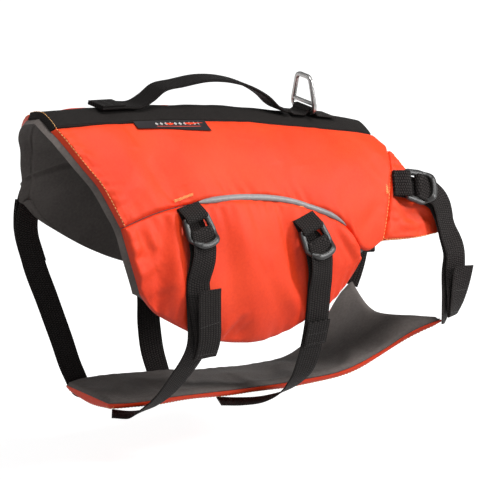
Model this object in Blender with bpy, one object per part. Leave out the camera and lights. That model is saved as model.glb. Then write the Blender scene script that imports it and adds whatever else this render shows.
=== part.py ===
"""Dog life jacket: a padded saddle with side flaps, a belly pad and six webbing straps.

Run with: blender --background --python part.py
Metres, +Z up, +X towards the wearer's head, -Y is the wearer's right side.
The origin lies on the wearer's back, under the rear end of the spine band.
"""
import math

import bmesh
import bpy
import numpy as np

# ---------------------------------------------------------------- driving sizes
WEBBING = 0.025            # width of every strap, and of the handle
WEB_THICK = 0.0013         # one layer of strap webbing
SEAM_GAP = 0.0003          # clearance left between neighbouring pieces
LAYER_GAP = 0.0011         # clearance between the lining and the outer cloth
LINING_THICK = 0.0042      # lining with its foam, from the figure outwards
SHELL_THICK = 0.0030       # outer cloth with its foam
BAND_HALF = 0.0168         # half the width of the spine band
LEAN = 0.07                # the saddle hangs this much lower on the right, per metre of width
RIDGE = 1.3                # 1 gives an elliptical back, more gives a more peaked one
LEFT_LIFT = 0.036          # the left flap is rolled up this much at its rear corner
PAD_LINING = 0.0030        # grey top layer of the belly pad
PAD_GAP = 0.0013           # clearance between the pad's two layers
PAD_EDGE = 0.0040          # orange lower layer of the belly pad at its edges
PAD_CROWN = 0.0045         # how much thicker it is along its middle
SWING_HEIGHT = 0.0040      # leash ring's lower bar above the spine band
RING_X = 0.291             # leash ring's place along the back

PIPING_START = {-1: 0.126, 1: 0.088}     # reflective piping begins in front of the rear tab
PIPING_END = 0.284
PIPING_HALF = 0.0029
PIPING_THICK = 0.0016
LABEL_START = 0.086
LABEL_END = 0.163
LABEL_DEPTH = 0.0095
LABEL_THICK = 0.0009

FLAP_COUNT = 18            # points along the seam between back panel and flap
YOKE_COUNT = 8             # points down the seam between back panel and shoulder wing

SHELL_INNER = LINING_THICK + LAYER_GAP
SHELL_OUTER = SHELL_INNER + SHELL_THICK
TRIM_INNER = SHELL_OUTER + SEAM_GAP

# The figure that the saddle is worn on, one row for each station along the back.
#        x, spine_z, half_width, widest_drop
TORSO = (
    (-0.010, 0.001, 0.085, 0.138),
    (0.060, -0.006, 0.087, 0.148),
    (0.130, -0.015, 0.086, 0.152),
    (0.200, -0.027, 0.083, 0.148),
    (0.270, -0.044, 0.078, 0.132),
    (0.340, -0.062, 0.071, 0.112),
    (0.410, -0.088, 0.060, 0.095),
)

# Edges of the panels on that figure, rows of (x, drop below the spine line).
REAR_UPPER = ((0.001, 0.0052), (0.0135, 0.030), (0.023, 0.045), (0.031, 0.066), (0.036, 0.079))
REAR_LOWER = ((0.036, 0.079), (0.040, 0.104), (0.048, 0.137))
FLAP_SEAM = ((0.036, 0.079), (0.073, 0.070), (0.126, 0.063), (0.183, 0.060),
             (0.241, 0.064), (0.285, 0.079), (0.296, 0.095))
LEFT_SEAM = ((0.036, 0.079), (0.073, 0.067), (0.131, 0.060), (0.189, 0.060),
             (0.233, 0.067), (0.275, 0.083), (0.296, 0.095))
FLAP_EDGE = ((0.048, 0.137), (0.062, 0.153), (0.084, 0.166), (0.134, 0.185), (0.174, 0.187),
             (0.208, 0.178), (0.236, 0.162), (0.266, 0.142), (0.285, 0.122), (0.297, 0.103))
YOKE_SEAM = ((0.361, 0.013), (0.350, 0.035), (0.340, 0.056), (0.325, 0.088))
NECK_EDGE = ((0.352, 0.0052), (0.361, 0.013))
WING_FRONT = ((0.364, 0.0145), (0.374, 0.027), (0.390, 0.049), (0.401, 0.064))
WING_LOWER = ((0.325, 0.088), (0.350, 0.084), (0.378, 0.077), (0.395, 0.071))
UNDER_ARM = ((0.296, 0.095), (0.304, 0.098), (0.325, 0.088))

# Belly pad, one row for each station.
#      x, top_z, half_width, side_tilt
PAD = (
    (0.052, -0.262, 0.033, 0.00),
    (0.066, -0.263, 0.038, 0.00),
    (0.125, -0.267, 0.042, -0.03),
    (0.195, -0.275, 0.043, -0.09),
    (0.260, -0.280, 0.044, -0.13),
    (0.310, -0.278, 0.046, -0.13),
    (0.345, -0.263, 0.051, -0.07),
    (0.372, -0.244, 0.060, 0.00),
    (0.398, -0.234, 0.070, 0.00),
)
PAD_REAR = 0.052
PAD_FRONT_MIDDLE = 0.374
PAD_FRONT_CORNER = 0.396

# Straps below their ladder locks, rows of (x, distance from the middle, z, turn, tilt).
# turn is how far the outer face looks towards the head, tilt how far towards the ground.
STRAP_ROWS = {
    "strap_right_rear": (
        (0.1035, 0.1000, -0.145, 0, 0), (0.1050, 0.0995, -0.172, 0, 3),
        (0.1075, 0.0950, -0.202, 0, 14), (0.0995, 0.0750, -0.239, 0, 40),
        (0.0860, 0.0585, -0.2640, 0, 62), (0.0720, 0.0400, -0.2775, 0, 86),
        (0.0580, 0.0300, -0.2765, 0, 90)),
    "strap_right_front": (
        (0.2410, 0.0945, -0.168, 0, 0), (0.2400, 0.0930, -0.195, 0, 4),
        (0.2400, 0.0860, -0.2245, 0, 14), (0.2410, 0.0780, -0.2440, 0, 28),
        (0.2390, 0.0690, -0.2630, 0, 48), (0.2290, 0.0590, -0.2780, 0, 68),
        (0.2130, 0.0490, -0.2860, 0, 82), (0.1930, 0.0390, -0.2875, 0, 88),
        (0.1750, 0.0310, -0.2860, 0, 90)),
    "strap_left_rear": (
        (0.0545, 0.1010, -0.130, 0, 0), (0.0575, 0.0950, -0.164, 0, 8),
        (0.0650, 0.0840, -0.199, 0, 18), (0.0700, 0.0690, -0.233, 0, 30),
        (0.0730, 0.0550, -0.2610, 0, 55), (0.0750, 0.0390, -0.2775, 0, 86),
        (0.0760, 0.0260, -0.2775, 0, 90)),
    "strap_left_front": (
        (0.1850, 0.1000, -0.150, 0, 0), (0.1830, 0.0970, -0.185, 0, 5),
        (0.1784, 0.0870, -0.2185, 0, 15), (0.1690, 0.0720, -0.2400, 0, 30),
        (0.1640, 0.0560, -0.2670, 0, 55), (0.1650, 0.0400, -0.2870, 0, 86),
        (0.1670, 0.0260, -0.2870, 0, 90)),
    "strap_neck_right": (
        (0.4010, 0.0715, -0.156, 20, 0), (0.4060, 0.0730, -0.174, 12, 0),
        (0.4050, 0.0730, -0.192, 8, 0), (0.4010, 0.0750, -0.216, 22, 0),
        (0.3930, 0.0770, -0.240, 48, 5)),
    "strap_neck_left": (
        (0.4010, 0.0715, -0.154, 20, 0), (0.4050, 0.0730, -0.172, 12, 0),
        (0.4050, 0.0730, -0.192, 8, 0), (0.4010, 0.0750, -0.216, 22, 0),
        (0.3930, 0.0770, -0.240, 48, 5)),
}

# Ladder locks: where each tab leaves its panel, which way it points and its free tail.
#          name, side, x, drop, forward_lean_degrees, tail_length
FASTENINGS = (
    ("right_rear", -1, 0.108, 0.0625, 8, 0.112),
    ("right_front", -1, 0.233, 0.0705, 14, 0.092),
    ("left_rear", 1, 0.070, 0.0655, -12, 0.080),
    ("left_front", 1, 0.198, 0.0645, -12, 0.092),
    ("neck_right", -1, 0.345, 0.0395, 72, 0.118),
    ("neck_left", 1, 0.345, 0.0395, 72, 0.118),
)

# Ladder lock, measured along the strap from the place where the tab leaves the cloth.
TAB_START = 0.0035
LOCK_TOP_BAR = 0.0165
LOCK_MIDDLE_BAR = 0.0310
LOCK_END = 0.0465
LOCK_BAR_HALF = 0.0016
LOCK_WIDTH = 0.0335
LOCK_SLOT = 0.0262
LOCK_THICK = 0.0030
LOCK_STANDOFF = 0.0058      # middle of the lock above the cloth
LIP_RISE = 0.0060           # the lock's free end curves this much further out, over the strap
LIP_DEPTH = 0.0034          # bar across the lock's free end
WRAP_RADIUS = 0.00335       # middle of the webbing round a bar

# Handle along the back, rows of (x, height of its underside above the spine band).
HANDLE = (
    (0.062, 0.0009), (0.085, 0.0009), (0.106, 0.0009), (0.117, 0.0065), (0.130, 0.0155),
    (0.150, 0.0195), (0.180, 0.0245), (0.205, 0.0240), (0.228, 0.0195), (0.246, 0.0115),
    (0.256, 0.0040), (0.262, 0.0014), (0.268, 0.0010),
)
HANDLE_THICK = 0.0030

# Colours: name -> (red, green, blue, roughness, metallic)
FINISHES = {
    "orange_cloth": (0.95, 0.12, 0.035, 0.62, 0.0),
    "grey_lining": (0.075, 0.068, 0.064, 0.55, 0.0),
    "black_webbing": (0.018, 0.016, 0.015, 0.75, 0.0),
    "reflective_tape": (0.36, 0.35, 0.35, 0.35, 0.0),
    "dark_plastic": (0.045, 0.043, 0.042, 0.42, 0.0),
    "satin_steel": (0.62, 0.61, 0.60, 0.28, 1.0),
    "black_label": (0.022, 0.020, 0.022, 0.55, 0.0),
}


# ---------------------------------------------------------------- plain helpers
def clear_scene():
    for item in list(bpy.data.objects):
        bpy.data.objects.remove(item, do_unlink=True)


def finish(name):
    """The named material, made once."""
    material = bpy.data.materials.get(name)
    if material is None:
        red, green, blue, roughness, metallic = FINISHES[name]
        material = bpy.data.materials.new(name)
        material.use_nodes = True
        shader = material.node_tree.nodes["Principled BSDF"]
        shader.inputs["Base Color"].default_value = (red, green, blue, 1.0)
        shader.inputs["Roughness"].default_value = roughness
        shader.inputs["Metallic"].default_value = metallic
    return material


def add_object(name, points, faces, finish_name, smooth_angle=50.0):
    """One closed object from points and faces, with its faces turned outwards."""
    mesh = bpy.data.meshes.new(name)
    mesh.from_pydata([tuple(point) for point in points], [], faces)
    work = bmesh.new()
    work.from_mesh(mesh)
    bmesh.ops.recalc_face_normals(work, faces=work.faces)
    work.to_mesh(mesh)
    work.free()
    mesh.shade_smooth()
    mesh.set_sharp_from_angle(angle=math.radians(smooth_angle))
    mesh.materials.append(finish(finish_name))
    made = bpy.data.objects.new(name, mesh)
    bpy.context.scene.collection.objects.link(made)
    return made


def smooth(value, places, heights):
    """Smooth curve through (places, heights), with the slopes taken from the neighbours."""
    places = np.asarray(places, float)
    heights = np.asarray(heights, float)
    slopes = np.gradient(heights, places)
    index = np.clip(np.searchsorted(places, value) - 1, 0, len(places) - 2)
    span = places[index + 1] - places[index]
    part = (value - places[index]) / span
    start = heights[index] * (1 + 2 * part) * (1 - part) ** 2 + slopes[index] * span * part * (1 - part) ** 2
    end = heights[index + 1] * part ** 2 * (3 - 2 * part) + slopes[index + 1] * span * part ** 2 * (part - 1)
    return start + end


def along(rows, count):
    """count points at even steps along a smooth curve through the rows."""
    rows = np.asarray(rows, float)
    steps = np.linalg.norm(np.diff(rows[:, :3], axis=0), axis=1)
    places = np.concatenate([[0.0], np.cumsum(steps)])
    wanted = np.linspace(0.0, places[-1], count)
    return np.stack([smooth(wanted, places, rows[:, k]) for k in range(rows.shape[1])], axis=1)


def unit(vectors):
    return vectors / np.linalg.norm(vectors, axis=-1, keepdims=True)


# ---------------------------------------------------------------- the figure
def torso_column(x, column):
    table = np.asarray(TORSO, float)
    return smooth(x, table[:, 0], table[:, column])


def angle_at(x, drop):
    """Angle from the ridge at which the figure lies drop below its spine line."""
    return np.arccos(1.0 - drop / torso_column(x, 3))


def angle_at_width(x, half_width):
    return np.arcsin((half_width / torso_column(x, 2)) ** (1.0 / RIDGE))


def figure(x, angle):
    """Point of the figure; the angle is positive on the left and negative on the right."""
    sine = np.sin(angle)
    across = torso_column(x, 2) * np.sign(sine) * np.abs(sine) ** RIDGE
    height = torso_column(x, 1) - torso_column(x, 3) * (1.0 - np.cos(angle)) + LEAN * across
    return np.stack([x + 0.0 * angle, across, height], axis=-1)


def outward(x, angle):
    step = 1e-4
    length = figure(x + step, angle) - figure(x - step, angle)
    girth = figure(x, angle + step) - figure(x, angle - step)
    return unit(np.cross(length, girth))


def on_figure(x, angle, height):
    return figure(x, angle) + outward(x, angle) * height


def edge(rows, side, count, dx=0.0, ddrop=0.0):
    """An edge given as (x, drop) rows, as (x, signed angle) points."""
    points = along(rows, count)
    x = points[:, 0] + dx
    return np.stack([x, side * angle_at(x, points[:, 1] + ddrop)], axis=1)


def fill(first, last, rear, front):
    """Patch between four edges: first and last run rear to front, rear and front cross them."""
    u = np.linspace(0.0, 1.0, len(first))[:, None, None]
    v = np.linspace(0.0, 1.0, len(rear))[None, :, None]
    across = (1 - v) * first[:, None, :] + v * last[:, None, :]
    length = (1 - u) * rear[None, :, :] + u * front[None, :, :]
    corners = ((1 - u) * (1 - v) * first[0] + u * (1 - v) * first[-1]
               + (1 - u) * v * last[0] + u * v * last[-1])
    return across + length - corners


# ---------------------------------------------------------------- solids
def wall(name, outer, inner, finish_name, keep=None):
    """Closed wall between two grids of points; keep says which cells are cloth."""
    rows, columns = outer.shape[:2]
    if keep is None:
        keep = np.ones((rows - 1, columns - 1), bool)
    total = rows * columns
    cells = []
    for i, j in zip(*np.nonzero(keep)):
        corner = int(i) * columns + int(j)
        cells.append((corner, corner + columns, corner + columns + 1, corner + 1))
    used = {(quad[k], quad[(k + 1) % 4]) for quad in cells for k in range(4)}
    rims = [(a, b) for a, b in used if (b, a) not in used]
    faces = list(cells)
    faces += [tuple(total + k for k in reversed(quad)) for quad in cells]
    faces += [(b, a, total + a, total + b) for a, b in sorted(rims)]
    points = np.concatenate([outer.reshape(-1, 3), inner.reshape(-1, 3)])
    kept = sorted({k for face in faces for k in face})
    renumber = {old: new for new, old in enumerate(kept)}
    faces = [tuple(renumber[k] for k in face) for face in faces]
    return add_object(name, points[kept], faces, finish_name)


def panel(name, patch, low, high, finish_name):
    """Cloth panel on the figure from a patch of (x, angle), between two heights."""
    x, angle = patch[..., 0], patch[..., 1]
    return wall(name, on_figure(x, angle, high), on_figure(x, angle, low), finish_name)


def tube(name, sections, finish_name, closed=False):
    """Solid through a row of sections, each with the same number of corners."""
    count, corners = sections.shape[:2]
    faces = []
    for i in range(count if closed else count - 1):
        for k in range(corners):
            a, b = i * corners, ((i + 1) % count) * corners
            faces.append((a + k, a + (k + 1) % corners, b + (k + 1) % corners, b + k))
    if not closed:
        faces.append(tuple(range(corners))[::-1])
        faces.append(tuple((count - 1) * corners + k for k in range(corners)))
    return add_object(name, sections.reshape(-1, 3), faces, finish_name)


def ribbon(name, middle, facing, width, thick, finish_name):
    """Flat webbing along a line of points; facing is the outer side's direction."""
    run = unit(np.gradient(middle, axis=0))
    facing = unit(facing - run * np.sum(facing * run, axis=1, keepdims=True))
    across = np.cross(run, facing) * width / 2
    lift = facing * thick / 2
    sections = np.stack([middle - across - lift, middle + across - lift,
                         middle + across + lift, middle - across + lift], axis=1)
    return tube(name, sections, finish_name)


# ---------------------------------------------------------------- saddle
def flap_edge(side):
    if side < 0:
        return FLAP_EDGE
    rear, front = FLAP_EDGE[0][0], FLAP_EDGE[-1][0]
    return tuple((x, drop - LEFT_LIFT * (front - x) / (front - rear)) for x, drop in FLAP_EDGE)


def rear_lower(side):
    return REAR_LOWER[:-1] + (flap_edge(side)[0],)


def flap_seam(side):
    return FLAP_SEAM if side < 0 else LEFT_SEAM


def make_back_panel(name, side):
    seam = edge(flap_seam(side), side, FLAP_COUNT, ddrop=-SEAM_GAP)
    arm = edge(UNDER_ARM, side, 5, ddrop=-SEAM_GAP)
    lower = np.concatenate([seam, arm[1:]])
    x = np.linspace(REAR_UPPER[0][0], NECK_EDGE[0][0], len(lower))
    ridge = np.stack([x, side * angle_at_width(x, BAND_HALF + SEAM_GAP)], axis=1)
    yoke = edge(YOKE_SEAM, side, YOKE_COUNT, dx=-SEAM_GAP)
    front = np.concatenate([edge(NECK_EDGE, side, 2)[:1], yoke])
    rear = edge(REAR_UPPER, side, len(front))
    rear[0], rear[-1], front[0], front[-1] = ridge[0], lower[0], ridge[-1], lower[-1]
    panel(name, fill(ridge, lower, rear, front), SHELL_INNER, SHELL_OUTER, "orange_cloth")


def make_side_flap(name, side):
    across = 8
    upper = edge(flap_seam(side), side, FLAP_COUNT, ddrop=SEAM_GAP)
    lower = edge(flap_edge(side), side, FLAP_COUNT)
    rear = edge(rear_lower(side), side, across)
    front = edge((flap_seam(side)[-1], flap_edge(side)[-1]), side, across)
    rear[0], rear[-1], front[0], front[-1] = upper[0], lower[0], upper[-1], lower[-1]
    panel(name, fill(upper, lower, rear, front), SHELL_INNER, SHELL_OUTER, "orange_cloth")


def make_shoulder_wing(name, side):
    count = 7
    upper = edge((YOKE_SEAM[0], WING_FRONT[0]), side, count, dx=SEAM_GAP)
    lower = edge(WING_LOWER, side, count, dx=SEAM_GAP)
    rear = edge(YOKE_SEAM, side, YOKE_COUNT, dx=SEAM_GAP)
    front = edge(WING_FRONT + (WING_LOWER[-1],), side, YOKE_COUNT, dx=SEAM_GAP)
    rear[0], rear[-1], front[0], front[-1] = upper[0], lower[0], upper[-1], lower[-1]
    panel(name, fill(upper, lower, rear, front), SHELL_INNER, SHELL_OUTER, "orange_cloth")


def make_lining():
    """One piece from flap to flap, under the whole saddle."""
    count, across = 26, 19
    right = edge(flap_edge(-1) + UNDER_ARM[1:] + WING_LOWER[1:], -1, count)
    left = edge(flap_edge(1) + UNDER_ARM[1:] + WING_LOWER[1:], 1, count)

    def whole(side_rows, ridge_x):
        half = {side: edge(side_rows(side), side, (across + 1) // 2) for side in (-1, 1)}
        for rows in half.values():
            rows[0] = (ridge_x, 0.0)
        return np.concatenate([half[-1][::-1], half[1][1:]])

    rear = whole(lambda side: REAR_UPPER + rear_lower(side)[1:], REAR_UPPER[0][0])
    front = whole(lambda side: NECK_EDGE[:1] + WING_FRONT + (WING_LOWER[-1],), NECK_EDGE[0][0])
    rear[0], rear[-1], front[0], front[-1] = right[0], left[0], right[-1], left[-1]
    panel("lining", fill(right, left, rear, front), 0.0, LINING_THICK, "grey_lining")


def make_spine_band():
    count, across = 22, 7
    x = np.linspace(REAR_UPPER[0][0], NECK_EDGE[0][0], count)[:, None]
    share = np.linspace(-1.0, 1.0, across)[None, :]
    angle = np.sign(share) * angle_at_width(x, BAND_HALF * np.abs(share))
    panel("spine_band", np.stack([x + 0 * share, angle], axis=-1), SHELL_INNER, SHELL_OUTER,
          "black_webbing")


def band_top(x):
    """Top of the spine band, over the ridge."""
    return torso_column(np.asarray(x, float), 1) + SHELL_OUTER


def make_piping(name, side):
    """Flat reflective tape along the seam between the back panel and the flap."""
    line = edge(flap_seam(side), side, 40)
    line = line[(line[:, 0] > PIPING_START[side]) & (line[:, 0] < PIPING_END)]
    x = np.repeat(line[:, :1], 2, axis=1)
    half = PIPING_HALF / torso_column(line[:, :1], 3)
    angle = line[:, 1:] + side * half * np.array([[-1.0, 1.0]])
    panel(name, np.stack([x, angle], axis=-1), TRIM_INNER, TRIM_INNER + PIPING_THICK, "reflective_tape")


def make_label():
    """Blank woven label, sewn in at the band's right edge."""
    x = np.linspace(LABEL_START, LABEL_END, 9)[:, None]
    start = angle_at_width(x, BAND_HALF + 0.0015)
    share = np.linspace(0.0, 1.0, 3)[None, :]
    angle = -(start + share * LABEL_DEPTH / torso_column(x, 2))
    panel("side_label", np.stack([x + 0 * share, angle], axis=-1), TRIM_INNER,
          TRIM_INNER + LABEL_THICK, "black_label")


# ---------------------------------------------------------------- handle and ring
def make_handle():
    rows = along(HANDLE, 40)
    x = rows[:, 0]
    middle = np.stack([x, 0.0 * x, band_top(x) + rows[:, 1] + HANDLE_THICK / 2], axis=1)
    facing = np.tile((0.0, 0.0, 1.0), (len(x), 1))
    ribbon("handle", middle, facing, WEBBING, HANDLE_THICK, "black_webbing")


def ring_pivot():
    return np.array([RING_X, 0.0, float(band_top(RING_X)) + SWING_HEIGHT])


def make_ring_loop():
    """Short webbing sewn to the band, passing over the ring's lower bar."""
    pivot = ring_pivot()
    radius = 0.0039
    turn = np.radians(np.linspace(-180.0, 0.0, 9) + 180.0)
    arch = np.stack([-np.cos(turn) * radius, np.sin(turn) * radius], axis=1)
    behind = np.array([-0.020, -0.013, -0.0075])
    ahead = np.array([0.0075, 0.013, 0.020, 0.028])
    rest = float(WEB_THICK / 2 + SEAM_GAP) - SWING_HEIGHT
    x = np.concatenate([behind, arch[:, 0], ahead])
    z = np.concatenate([np.zeros(3), arch[:, 1], np.zeros(4)])
    flat = np.ones(len(x), bool)
    flat[3:12] = False
    z = np.where(flat, band_top(RING_X + x) - band_top(RING_X) + rest, z)
    middle = np.stack([pivot[0] + x, 0.0 * x, pivot[2] + z], axis=1)
    run = unit(np.gradient(middle, axis=0))
    facing = np.stack([-run[:, 2], 0.0 * x, run[:, 0]], axis=1)
    ribbon("ring_loop", middle, facing, WEBBING, WEB_THICK, "black_webbing")


def rounded(corners, radius, steps):
    """Outline with its corners rounded by arcs, as (across, up) points."""
    corners = np.asarray(corners, float)
    outline = []
    for k, corner in enumerate(corners):
        before = unit(corners[k - 1] - corner)
        after = unit(corners[(k + 1) % len(corners)] - corner)
        half = math.acos(float(np.clip(before @ after, -1, 1))) / 2
        reach = radius / math.tan(half)
        centre = corner + unit(before + after) * radius / math.sin(half)
        first = corner + before * reach - centre
        last = corner + after * reach - centre
        sweep = math.pi - 2 * half
        for step in np.linspace(0.0, 1.0, steps):
            weight_a = math.sin((1 - step) * sweep) / math.sin(sweep)
            weight_b = math.sin(step * sweep) / math.sin(sweep)
            outline.append(centre + first * weight_a + last * weight_b)
    return np.array(outline)


def make_leash_ring():
    """Cast ring: tapered frame with a cross bar above the slot for its webbing."""
    pivot = ring_pivot()
    metal, half_deep = 0.0042, 0.0018
    bottom, top, height = 0.0205, 0.0118, 0.0365
    low = -metal / 2
    outer = rounded(((-bottom, low), (bottom, low), (top, low + height), (-top, low + height)), 0.0080, 5)
    slope = (bottom - top) / height
    inner_low, inner_high = metal / 2, low + height - metal
    side = [bottom - slope * (level - low) - metal * 1.02 for level in (inner_low, inner_high)]
    inner = rounded(((-side[0], inner_low), (side[0], inner_low), (side[1], inner_high),
                     (-side[1], inner_high)), 0.0035, 5)
    sections = np.array([[(half_deep, a, b), (-half_deep, a, b), (-half_deep, c, d), (half_deep, c, d)]
                         for (a, b), (c, d) in zip(outer, inner)])
    ring = tube("leash_ring", sections, "satin_steel", closed=True)
    bar_low, bar_high = 0.0066, 0.0098
    reach = bottom - slope * bar_high - metal * 0.6
    corners = [(u, v, w) for u in (-half_deep * 0.9, half_deep * 0.9) for v in (-reach, reach)
               for w in (bar_low, bar_high)]
    faces = [(0, 1, 3, 2), (4, 6, 7, 5), (0, 4, 5, 1), (2, 3, 7, 6), (0, 2, 6, 4), (1, 5, 7, 3)]
    bar = add_object("ring_bar_guide", corners, faces, "satin_steel")
    join = ring.modifiers.new("cross bar", "BOOLEAN")
    join.operation = "UNION"
    join.solver = "EXACT"
    join.object = bar
    bar.hide_render = True
    bar.display_type = "WIRE"
    ring.location = pivot
    bar.location = pivot


# ---------------------------------------------------------------- straps
def tab_frame(side, x, drop, lean):
    """Place and directions of a tab on the cloth: origin, along, across and out."""
    angle = side * angle_at(x, drop)
    origin = on_figure(x, angle, SHELL_OUTER)
    out = outward(x, angle)
    step = 1e-4
    down = unit(figure(x, angle + side * step) - figure(x, angle))
    ahead = np.cross(down, out)
    ahead *= np.sign(ahead[0])
    turn = math.radians(lean)
    run = unit(down * math.cos(turn) + ahead * math.sin(turn))
    return origin, run, np.cross(run, out), out


def in_frame(frame, run, lift):
    origin, direction, _, out = frame
    return origin + np.outer(run, direction) + np.outer(lift, out)


def wrap_points(centre_run, start_degrees, end_degrees, count=9):
    """Webbing round a bar, as (run, lift) pairs."""
    turn = np.radians(np.linspace(start_degrees, end_degrees, count))
    return centre_run + np.cos(turn) * WRAP_RADIUS, LOCK_STANDOFF + np.sin(turn) * WRAP_RADIUS


def make_tab(name, frame):
    """Folded webbing from the cloth round the lock's top bar and back."""
    run, lift = wrap_points(LOCK_TOP_BAR, -80.0, 80.0)
    under = SEAM_GAP + WEB_THICK / 2
    over = under + WEB_THICK + 0.0012
    between = (TAB_START + LOCK_TOP_BAR) / 2
    run = np.concatenate([[TAB_START, between], run, [between, TAB_START]])
    lift = np.concatenate([[under, under + 0.0006], lift, [(over + lift[-1]) / 2, over]])
    middle = in_frame(frame, run, lift)
    travel = unit(np.gradient(middle, axis=0))
    facing = np.cross(frame[2], travel)
    ribbon(name, middle, facing, WEBBING, WEB_THICK, "black_webbing")


def make_lock(name, frame):
    """Ladder lock: a plate with two slots, narrower at its free end."""
    origin, direction, across, out = frame
    half, slot = LOCK_WIDTH / 2, LOCK_SLOT / 2
    #        run along the strap, share of the full width, rise of the lip
    rows = np.array([(LOCK_TOP_BAR - LOCK_BAR_HALF, 0.94, 0.0), (LOCK_TOP_BAR + LOCK_BAR_HALF, 1.0, 0.0),
                     (LOCK_MIDDLE_BAR - LOCK_BAR_HALF, 1.0, 0.0), (LOCK_MIDDLE_BAR + LOCK_BAR_HALF, 1.0, 0.0),
                     (LOCK_END - LIP_DEPTH, 0.97, LIP_RISE), (LOCK_END, 0.86, LIP_RISE)])
    run, taper, rise = rows.T
    sides = np.stack([-half * taper, -slot + 0 * taper, slot + 0 * taper, half * taper], axis=1)
    flat = origin + run[:, None, None] * direction + sides[..., None] * across + rise[:, None, None] * out
    keep = np.ones((5, 3), bool)
    keep[1, 1] = False
    keep[3, 1] = False
    wall(name, flat + out * (LOCK_STANDOFF + LOCK_THICK / 2),
         flat + out * (LOCK_STANDOFF - LOCK_THICK / 2), "dark_plastic", keep)


def strap_line(frame, side, rows):
    """Main run of a strap, from behind its lock down to the belly pad."""
    rows = np.asarray(rows, float)
    turn, tilt = np.radians(rows[:, 3]), np.radians(rows[:, 4])
    places = rows[:, :3] * (1.0, side, 1.0)
    facing = np.stack([np.sin(turn) * np.cos(tilt), side * np.cos(turn) * np.cos(tilt), -np.sin(tilt)], axis=1)
    behind = in_frame(frame, np.array([LOCK_MIDDLE_BAR + 0.004, LOCK_END + 0.0045]),
                      np.full(2, LOCK_STANDOFF - WRAP_RADIUS))
    places = np.concatenate([behind, places])
    facing = np.concatenate([np.tile(frame[3], (2, 1)), facing])
    line = along(np.concatenate([places, facing], axis=1), 26)
    return line[:, :3], unit(line[:, 3:])


def make_strap(name, frame, side, rows, tail):
    """Strap from the pad up behind the lock, round its middle bar, and down as a free tail."""
    middle, facing = strap_line(frame, side, rows)
    steps = np.concatenate([[0.0], np.cumsum(np.linalg.norm(np.diff(middle, axis=0), axis=1))])
    run, lift = wrap_points(LOCK_MIDDLE_BAR, 270.0, 90.0)
    turn = in_frame(frame, run, lift)
    turn_facing = unit(turn - in_frame(frame, np.full(len(run), LOCK_MIDDLE_BAR),
                                       np.full(len(run), LOCK_STANDOFF))) * -1.0
    reach = np.linspace(0.0, tail, 12)
    hang = np.stack([np.interp(reach, steps, middle[:, k]) for k in range(3)], axis=1)
    hang_facing = unit(np.stack([np.interp(reach, steps, facing[:, k]) for k in range(3)], axis=1))
    settle = np.clip((reach - (LOCK_END - LOCK_MIDDLE_BAR)) / 0.030, 0.0, 1.0)
    spread = 2 * WRAP_RADIUS * (1 - settle) + (WEB_THICK + 0.0009) * settle
    hang = hang + hang_facing * spread[:, None]
    points = np.concatenate([middle[::-1], turn, hang])
    outer = np.concatenate([-facing[::-1], turn_facing, hang_facing])
    ribbon(name, points, outer, WEBBING, WEB_THICK, "black_webbing")


def make_fastenings():
    for name, side, x, drop, lean, tail in FASTENINGS:
        frame = tab_frame(side, x, drop, lean)
        make_tab("tab_" + name, frame)
        make_lock("ladder_lock_" + name, frame)
        strap = "strap_" + name
        make_strap(strap, frame, side, STRAP_ROWS[strap], tail)


# ---------------------------------------------------------------- belly pad
def pad_column(x, column):
    table = np.asarray(PAD, float)
    return smooth(x, table[:, 0], table[:, column])


def pad_grid(drop, crown=0.0, narrow=0.0):
    """Grid of points of the pad, drop below its top face and crown more along its middle."""
    u = np.linspace(0.0, 1.0, 24)[:, None]
    v = np.linspace(-1.0, 1.0, 7)[None, :]
    front = PAD_FRONT_MIDDLE + (PAD_FRONT_CORNER - PAD_FRONT_MIDDLE) * np.abs(v) ** 1.6
    x = PAD_REAR + (front - PAD_REAR) * u + 0.0 * v
    y = (pad_column(x, 2) - narrow) * v
    z = pad_column(x, 1) + pad_column(x, 3) * y - drop - crown * (1 - v ** 2)
    return np.stack([x, y, z], axis=-1)


def make_belly_pad():
    wall("belly_pad_lining", pad_grid(0.0, narrow=0.001), pad_grid(PAD_LINING), "grey_lining")
    top = PAD_LINING + PAD_GAP
    wall("belly_pad_shell", pad_grid(top), pad_grid(top + PAD_EDGE, PAD_CROWN, 0.001), "orange_cloth")


def main():
    clear_scene()
    make_lining()
    make_spine_band()
    for word, side in (("right", -1), ("left", 1)):
        make_back_panel("back_panel_" + word, side)
        make_side_flap("side_flap_" + word, side)
        make_shoulder_wing("shoulder_wing_" + word, side)
        make_piping("reflective_piping_" + word, side)
    make_label()
    make_handle()
    make_ring_loop()
    make_leash_ring()
    make_fastenings()
    make_belly_pad()


main()
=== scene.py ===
# %% [markdown]
# # A dog's life jacket
# A life jacket for a dog is a foam-filled saddle with side flaps, a belly pad, and webbing straps
# that close it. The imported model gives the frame: every size below is the garment's own, in metres,
# with +X towards the head, -Y the wearer's right side and +Z up.

# %% Load the frame
import math

import bmesh
import bpy
import numpy as np
from mathutils import Matrix, Vector


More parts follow.
